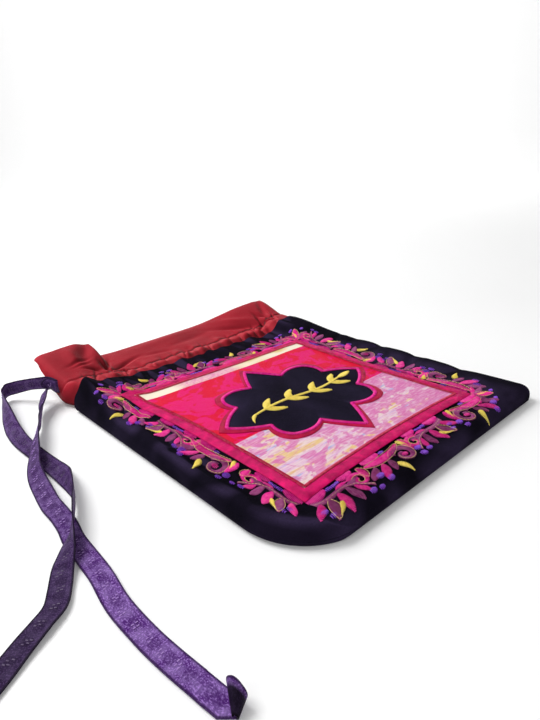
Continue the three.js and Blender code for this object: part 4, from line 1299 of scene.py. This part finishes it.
class POUCH_OT_velvet(bpy.types.Operator):
    """Front and back of the velvet body"""

    bl_idname = "pouch.velvet"
    bl_label = "Velvet body"

    def execute(self, context):
        material = velvet_material()

        def front(across, along):
            at = (across - 0.5) * BODY_WIDTH
            waver = 1.1 * np.sin(at / 5.2 + 1.2 * np.sin(at / 21)) + 0.5 * np.sin(at / 2.9)
            y = BOTTOM_Y + edge_spread(along, 0.05) * BODY_LENGTH + (waver - 0.4) * along ** 30
            left, right = body_limits(y)
            x = left + (right - left) * edge_spread(across, 0.05)
            return stack(x, y, front_height(x, y))

        def back(across, along):
            share, y = edge_spread(across, 0.05), BOTTOM_Y + edge_spread(along, 0.05) * BODY_LENGTH
            left, right = body_limits(y)
            x = left + (right - left) * share
            top = SEAM_HEIGHT - GAP / 2
            edge = np.minimum(np.minimum(share, 1 - share) * BODY_WIDTH, y - BOTTOM_Y)
            return stack(x, y, top - top * roll(edge, BACK_ROLL) + 0.02)

        finish(cloth(190, 180, front, VELVET_WALL), "pouch_front", material, "velvet", "velvet_front")
        finish(cloth(120, 110, back, VELVET_WALL, 1), "pouch_back", material, "velvet", "velvet_back")
        return {"FINISHED"}


def collar_cloth(height, offset, columns):
    """One satin layer of the collar, from its tuck in the velvet to its hem."""
    def place(across, along):
        share = 2 * edge_spread(across, 0.03) - 1
        first = (COLLAR_TUCK + CASING_WIDTH) / (COLLAR_TUCK + COLLAR_LENGTH)
        reach = COLLAR_LENGTH * mouth_share("reach", share * BODY_WIDTH / 2)
        below = MOUTH_Y - COLLAR_TUCK + along / first * (COLLAR_TUCK + CASING_WIDTH)
        above = MOUTH_Y + CASING_WIDTH + (along - first) / (1 - first) * (reach - CASING_WIDTH)
        y = np.where(along < first, below, above)
        x = share * collar_limit(share, y)
        return stack(x, y, height(x, y, (1 - np.abs(share)) * BODY_WIDTH / 2))

    return cloth(columns, 84, place, COLLAR_WALL, offset)


class POUCH_OT_collar(bpy.types.Operator):
    """The gathered satin collar with its stitch line"""

    bl_idname = "pouch.collar"
    bl_label = "Satin collar"

    def execute(self, context):
        colour = dyed("satin")
        satin = satin_material("satin_cloth", colour, 0.28, 0.5, 24, 0.74, slopes=True)
        finish(collar_cloth(collar_front_height, -1, 420), "satin_front", satin, "satin", "collar_front")
        finish(collar_cloth(collar_back_height, 1, 260), "satin_back", satin, "satin", "collar_back")

        def top(x, y):
            return collar_front_height(x, y, np.full(np.shape(x), BODY_WIDTH / 2.0)) + STITCH_LIFT

        left, right = STITCH_ENDS
        x = np.linspace(-BODY_WIDTH / 2 + left, BODY_WIDTH / 2 - right, 240)
        seam = np.column_stack([x, MOUTH_Y + CASING_WIDTH + seam_waver(x)])
        threads = [stitched_line(seam, size_of("stitch_length"), gap=0.25, arch=0.12)]
        stitches = lay_threads("casing_stitches", threads, top, 0.42)
        # The stitch thread is painted nearly black, standing in for the shade along the stitch line.
        finish(stitches, "casing_stitches", thread_material("satin_thread", darker(colour, 0.12)), "satin")
        return {"FINISHED"}


def corner_of(index, inset):
    """One corner of the panel, a distance inside its edge."""
    corner = PANEL_CORNERS[index % 4]
    return PANEL + corner * PANEL_SIZE / 2 - np.sign(corner) * inset


def panel_side(index, inset, share):
    """Points on one bowed side of the panel, a distance inside its edge."""
    start, end = corner_of(index, inset), corner_of(index + 1, inset)
    middle = (start + end) / 2
    inward = PANEL - middle
    bend = middle + inward / np.linalg.norm(inward) * PANEL_BOW * 2
    return bent_line(start, bend, end, np.asarray(share, float))


def panel_edge(inset, share):
    """Points round all four sides of the panel, a distance inside its edge."""
    return np.vstack([panel_side(index, inset, share) for index in range(4)])


def bent_line(start, bend, end, share):
    """Points on a curve from start to end that leans towards its bend."""
    t = share[:, None]
    return start * (1 - t) ** 2 + bend * 2 * t * (1 - t) + end * t * t


def medallion_line(margin, parts=14):
    """Points round the medallion's outline, grown by a margin."""
    half = np.array([MEDALLION_WIDTH / 2 + margin, MEDALLION_HEIGHT / 2 + margin])
    points = []
    start = np.array([1.0, 0.0])
    for sign_x, sign_y, turned in ((1, 1, False), (-1, 1, True), (-1, -1, False), (1, -1, True)):
        for k in range(1, len(QUARTER)):
            i = len(QUARTER) - k if turned else k
            end = QUARTER[i - 1] if turned else QUARTER[i]
            sign = np.array([sign_x, sign_y])
            points.append(bent_line(start, sign * QUARTER[i][2:], sign * end[:2], np.arange(parts) / parts))
            start = sign * end[:2]
    return MEDALLION + np.vstack(points) * half


def over_velvet(lift):
    """The surface that threads lie on, a lift above the velvet."""
    return lambda x, y: front_height(x, y) + lift


def laid(flat, lift):
    """Flat points, lifted over the velvet."""
    x, y = flat[:, 0], flat[:, 1]
    return stack(x, y, front_height(x, y) + lift)


def field(rows, low, high, lift):
    """A woven field across the panel between two lines, given as functions of a share."""
    def place(across, along):
        bottom, top = low(across), high(across)
        return laid(bottom + (top - bottom) * along[:, None], lift)

    return cloth(110, rows, place, APPLIQUE_WALL)


def ring(outer, inner, rise, crown, wall, columns):
    """A closed band between two outlines, crowned across, over the velvet."""
    closed_outer, closed_inner = np.vstack([outer, outer[:1]]), np.vstack([inner, inner[:1]])
    count = len(outer)

    def place(across, along):
        i = np.rint(along * count).astype(int)
        flat = closed_outer[i] * (1 - across[:, None]) + closed_inner[i] * across[:, None]
        return laid(flat, rise + crown * np.sin(np.pi * across) ** 0.5)

    piece = cloth(columns, count, place)
    merge_doubles(piece)
    give_wall(piece, wall)
    return piece


class POUCH_OT_panel(bpy.types.Operator):
    """The applied square: woven fields, pink band and its crimson stitching"""

    bl_idname = "pouch.panel"
    bl_label = "Applied panel"

    def execute(self, context):
        inset = FRAME_BAND - 1
        wide = PANEL_SIZE - 2 * inset
        top = GAP + APPLIQUE_WALL
        seam_y = PANEL_Y - PANEL_SIZE / 2 + FRAME_BAND + BROCADE_HEIGHT
        left = panel_side(3, inset, np.linspace(0, 1, 60))[::-1]
        right = panel_side(1, inset, np.linspace(0, 1, 60))

        def bottom(share):
            return panel_side(0, inset, share)

        def seam(share):
            start, end = (np.interp(seam_y, side[:, 1], side[:, 0]) for side in (left, right))
            return np.column_stack([start + (end - start) * share, np.full(len(share), seam_y)])

        def panel_top(share):
            return panel_side(2, inset, 1 - share)

        def under_stripe(share):
            return panel_top(share) - np.array([0, STRIPE_WIDTH])

        # Each field: its rows of points, the lines it lies between, its lift, length, material, slot and node.
        red_length = wide - BROCADE_HEIGHT - STRIPE_WIDTH
        fields = (
            ("brocade", 40, bottom, seam, 0.0, BROCADE_HEIGHT,
             brocade_material, "pastel_brocade", "pastel_brocade"),
            ("jacquard", 60, seam, under_stripe, 0.0, red_length,
             jacquard_material, "red_jacquard", "red_jacquard"),
            ("stripe", 8, under_stripe, panel_top, 0.1, STRIPE_WIDTH,
             stripe_material, "cream_weave", "cream_stripe"),
        )
        for name, rows, low, high, lift, length, material, slot, node in fields:
            finish(field(rows, low, high, top + lift), name, material(), slot, node)

        share = np.linspace(0, 1, 61)[:-1]
        band = ring(panel_edge(0, share), panel_edge(FRAME_BAND, share), GAP + 0.8, FRAME_WALL - 0.6, 1.0, 8)
        satin = satin_material("frame_satin", dyed("frame"), low=0.35)
        finish(band, "panel_band", satin, "frame_satin", "panel_frame")

        edge = panel_edge(FRAME_BAND + 0.2, np.linspace(0, 1, 80))
        piping = lay_threads("frame_piping", [dense_line(edge, 1.0, 0.55)], over_velvet(top + 0.35), 0.32)
        finish(piping, "frame_piping", thread_material("crimson_thread", dyed("crimson")), "crimson_satin")
        return {"FINISHED"}


class POUCH_OT_medallion(bpy.types.Operator):
    """The eight-lobed medallion and its gold sprig"""

    bl_idname = "pouch.medallion"
    bl_label = "Medallion"

    def execute(self, context):
        base = GAP + APPLIQUE_WALL
        edge = medallion_line(0)
        closed = np.vstack([edge, edge[:1]])

        def disc(across, along):
            i = np.rint(along * len(edge)).astype(int)
            share = 0.02 + 0.98 * across
            return laid(MEDALLION + (closed[i] - MEDALLION) * share[:, None], base + 1.0 - 0.7 * share ** 12)

        velvet = cloth(26, len(edge), disc)
        merge_doubles(velvet)
        close_middle(velvet, MEDALLION * MM)
        give_wall(velvet, APPLIQUE_WALL)
        finish(velvet, "medallion_velvet", velvet_material("medallion_pile", 3.4), "velvet", "medallion")

        outer, inner = medallion_line(OUTLINE_BAND + BORDER_BAND), medallion_line(OUTLINE_BAND * 0.3)
        band = ring(outer, inner, base + 0.35, 0.4, 0.9, 6)
        satin = satin_material("crimson_satin", dyed("crimson"))
        finish(band, "crimson_band", satin, "crimson_satin", "medallion_border")

        cord = [dense_line(medallion_line(OUTLINE_BAND / 2), 1.25, 0.7)]
        # Each piece of thread: its threads, lift and radius, its thread's colour, and its slot and node.
        for name, threads, lift, radius, colour, slot, node in (
            ("magenta_outline", cord, 0.75, THREAD_RADIUS, "magenta", "magenta_satin", "medallion_outline"),
            ("sprig", sprig_threads(), 1.0, 0.36, "gold", "gold_thread", "gold_sprig"),
        ):
            piece = lay_threads(name, threads, over_velvet(base + lift), radius)
            finish(piece, name, thread_material(f"{colour}_thread", dyed(colour)), slot, node)
        return {"FINISHED"}


def close_middle(piece, centre):
    """Joins the innermost ring of points into one at the middle."""
    points = points_of(piece)
    reach = np.hypot(points[:, 0] - centre[0], points[:, 1] - centre[1])
    inner = reach < 0.035 * MEDALLION_WIDTH / 2 * MM
    points[inner] = points[inner].mean(axis=0)
    set_points(piece, points)
    merge_doubles(piece)


def stem_at(share):
    """Points of the sprig's waved stem."""
    sway = SPRIG_SWAY * np.sin(2 * np.pi * share)
    return MEDALLION + np.column_stack([SPRIG_LENGTH * (share - 0.5), sway])


def sprig_threads():
    """A waved stem with paired leaves, side curls and small fruit."""
    stem = stem_at(np.linspace(0, 1, 60))
    threads = [satin_fill(stem, lambda s: 0.85 + 0.35 * np.sin(np.pi * s), slant=0.8)]
    forms = [leaf(stem[-1], 4, 15, 2.6), comma(stem[0], 200, 10, 1.4, 0.5)]
    for k, foot in enumerate(stem_at((np.arange(SPRIG_PAIRS) + 0.5) / SPRIG_PAIRS)):
        for side in (1, -1):
            forms.append(leaf(foot, side * 46, 15, 2.6, -0.16 * side))
            forms.append(comma(foot + np.array([5.5, side * 1.2]), side * 72, 7.5, 1.1, -0.45 * side))
        forms.append(berry(foot + np.array([9.8, 7.2 if k % 2 else -7.2]), 1.4))
    return threads + [satin_fill(*form, arch=0.8) for form in forms]


class POUCH_OT_border(bpy.types.Operator):
    """The embroidered border of leaves, scrolls and berries round the panel"""

    bl_idname = "pouch.border"
    bl_label = "Embroidered border"

    # Each side of the panel: how many repeats it holds and how far out they reach, in millimetres.
    sides = ((0, 4, 22.5), (1, 4, 23.0), (2, 4, 20.0), (3, 4, 19.0))

    def execute(self, context):
        fills = {name: [] for name in ("pink", "plum", "violet", "gold", "magenta", "cream")}
        for side, repeats, reach in self.sides:
            for k in range(repeats):
                middle = (k + 0.5 + 0.07 * math.sin(2.3 * k + 1.9 * side)) / repeats
                reach_here = reach * (1 + 0.12 * math.sin(2.9 * k + 0.8 * side))
                self.repeat(fills, side, middle, reach_here, (k + side) % 4 > 1, (k + side) % 2)
        for index in (1, 2, 3):
            self.corner(fills, index)
        for name, threads in fills.items():
            lift, radius = {"gold": (0.3, THREAD_RADIUS), "cream": (0.55, 0.22)}.get(name, (0.15, THREAD_RADIUS))
            slot = "gold_thread" if name in ("gold", "cream") else "magenta_satin"
            whole = f"border_{name}"
            piece = lay_threads(whole, threads, over_velvet(lift), radius)
            finish(piece, whole, thread_material(whole, dyed(name)), slot)
        trims = ["panel_band", "frame_piping", "crimson_band", "magenta_outline", "sprig"]
        trims += [f"border_{name}" for name in fills]
        return {"FINISHED"}

    def repeat(self, fills, side, middle, reach, flipped, kind):
        """One repeat: a lobed branch or a broad scroll, with drops and berries, laid out from the band."""
        share = np.linspace(0, 1, 61)
        edge = panel_side(side, 0, share)
        length = line_length(edge)
        scale = reach / DRAWN_REACH
        sign = -1 if flipped else 1
        run = (edge[-1] - edge[0]) / np.linalg.norm(edge[-1] - edge[0])
        outward = np.array([run[1], -run[0]])

        def placed(points):
            at = middle + sign * points[:, 0] * REPEAT_STRETCH / length
            past = (at - np.clip(at, 0, 1)) * length
            return at_marks(at, share, edge) + run * past[:, None] + outward * points[:, 1:2] * scale

        def add(name, threads):
            fills[name].append((placed(threads[0]), placed(threads[1]), threads[2]))

        def fill(name, form, **how):
            add(name, satin_fill(*form, **how))

        def seam(line, stitch=1.7):
            add("cream", stitched_line(line, stitch))

        def thinning(width, loss):
            return lambda t: width * (1 - loss * t)

        def bars(*rows):
            for places, low, high, width in rows:
                fill("magenta", (list(zip(places, (low, high, low))), pointed(width, 0.6)), slant=0)

        def leaves(*rows):
            for name, x, y, *shape in rows:
                fill(name, leaf((x, y), *shape))

        def drops(arch, *rows):
            for x, y, *shape in rows:
                fill("gold", comma((x, y), *shape, 0.5), arch=arch)

        def berries(*rows, name="violet"):
            for x, y, radius in rows:
                fill(name, berry((x, y), radius), slant=0, arch=0.9)

        if kind:
            bars(((-14.5, -9, -3.5), 1.0, 1.5, 3.8))
            leaves(("magenta", 12.5, 1.2, 78, 9.5, 2.2, 0.2))
            tongue = ([(-15.5, 4.4), (-7, 6.0), (1, 5.4), (9, 2.4)], pointed(2.4, 0.6))
            fill("pink", tongue, slant=0.5)
            seam(outline(*tongue))
            leaves(
                ("plum", -12.0, 7.4, 128, 9.5, 2.3, 0.2), ("pink", -7.6, 8.2, 112, 10.5, 2.3, 0.2),
                ("plum", -3.4, 8.2, 96, 8.0, 1.9, 0.2),
            )
            eye = (6.0, 10.8)
            fill("plum", (scroll_line(eye, 6.8, 1.6, 205, 1.2), thinning(2.1, 0.5)), slant=0.4)
            seam(scroll_line(eye, 8.6, 3.0, 205, 1.0), 1.6)
            berries((*eye, 1.5), name="pink")
            drops(0.9, (-2.6, 13.6, 40, 7.0, 1.7), (10.2, 1.8, 40, 5.5, 1.4))
            berries(
                (-15.0, 13.0, 1.9), (-12.2, 17.2, 1.6), (14.6, 12.0, 1.8), (13.4, 16.2, 1.4), (-1.2, 2.0, 1.3),
            )
            return
        bars(((-15.5, -10, -5.5), 0.9, 1.2, 3.2), ((3.0, 7, 11.5), 0.8, 1.1, 2.7))
        branch = [(-15, 4.6), (-8, 6.6), (0, 6.2), (7, 8.8), (12.5, 15.5)]
        fill("plum", (branch, thinning(1.9, 0.65)), slant=0.6)
        seam(branch)
        # The second lobe and the last are edged in cream.
        lobes = (
            ("pink", -13.0, 6.0, 118, 9.5, 2.2, 0.2), ("plum", -8.5, 7.2, 103, 11.5, 2.5, 0.16),
            ("pink", -3.2, 7.2, 90, 12.0, 2.4, 0.14), ("plum", 1.8, 7.6, 76, 10.5, 2.2, 0.12),
            ("pink", 5.8, 9.4, 62, 7.5, 1.7, 0.10), ("pink", -2.0, 5.4, -24, 6.5, 1.4, 0.3),
            ("plum", 3.4, 6.6, 12, 7.0, 1.6, -0.3), ("pink", 14.6, 1.6, 74, 8.0, 1.9, 0.25),
        )
        leaves(*lobes)
        for _, x, y, *shape in (lobes[1], lobes[7]):
            seam(outline(*leaf((x, y), *shape)))
        eye = (10.4, 8.4)
        fill("pink", (scroll_line(eye, 5.2, 1.2, 215, 1.15), thinning(1.5, 0.5)), slant=0.4)
        seam(scroll_line(eye, 4.0, 0.6, 215, 1.1), 1.5)
        drops(0.8, (-5.8, 12.2, 112, 6.5, 1.3))
        berries(
            (-15.4, 11.2, 1.6), (-13.6, 15.0, 1.4), (9.2, 17.4, 1.5), (-3.6, 1.9, 1.3), (-0.8, 2.2, 1.2),
            (1.6, 1.9, 1.0), (13.8, 18.6, 1.2),
        )

    def corner(self, fills, index):
        """Leaves, a drop and berries that fan out from one corner."""
        foot = corner_of(index, 0)
        outward = np.sign(PANEL_CORNERS[index])
        turn = math.degrees(math.atan2(outward[1], outward[0]))
        middle = leaf(foot - outward, turn, 17, 3.0, 0.1)
        fills["magenta"].append(satin_fill(*middle))
        fills["cream"].append(stitched_line(outline(*middle), 1.7))
        for way in (1, -1):
            for name, lean, long, wide in (("plum", 34, 13, 2.4), ("pink", 64, 11, 2.0)):
                form = leaf(foot + outward * 0.5, turn + way * lean, long, wide, 0.25 * way)
                fills[name].append(satin_fill(*form))
            angle = math.radians(turn + way * 19)
            away = np.array([math.cos(angle), math.sin(angle)])
            fills["violet"].append(satin_fill(*berry(foot + away * 16.0, 1.5), slant=0, arch=0.9))
        fills["gold"].append(satin_fill(*comma(foot + outward * 3.0, turn + 8, 8.0, 1.1, 0.3), arch=0.9))


class POUCH_PT_panel(bpy.types.Panel):
    """Sizes and colours of the pouch, and the steps that build it"""

    bl_label = "Pouch"
    bl_idname = "POUCH_PT_panel"
    bl_space_type = "VIEW_3D"
    bl_region_type = "UI"
    bl_category = "Pouch"

    def draw(self, context):
        for group in (context.scene.pouch_sizes, context.scene.pouch_colours):
            for name in group.__annotations__:
                self.layout.prop(group, name)
        for step in STEPS:
            self.layout.operator(step.bl_idname)


STEPS = (
    POUCH_OT_stage,
    POUCH_OT_ribbons,
    POUCH_OT_velvet,
    POUCH_OT_collar,
    POUCH_OT_panel,
    POUCH_OT_medallion,
    POUCH_OT_border,
)
CLASSES = (PouchSizes, PouchColours, *STEPS, POUCH_PT_panel)


def register():
    for made in CLASSES:
        bpy.utils.register_class(made)
    bpy.types.Scene.pouch_sizes = PointerProperty(type=PouchSizes)
    bpy.types.Scene.pouch_colours = PointerProperty(type=PouchColours)


def unregister():
    del bpy.types.Scene.pouch_colours
    del bpy.types.Scene.pouch_sizes
    for made in reversed(CLASSES):
        bpy.utils.unregister_class(made)


def main():
    register()
    bpy.ops.pouch.stage()
    bpy.ops.pouch.ribbons()
    bpy.ops.pouch.velvet()
    bpy.ops.pouch.collar()
    bpy.ops.pouch.panel()
    bpy.ops.pouch.medallion()
    bpy.ops.pouch.border()


if __name__ == "__main__":
    main()
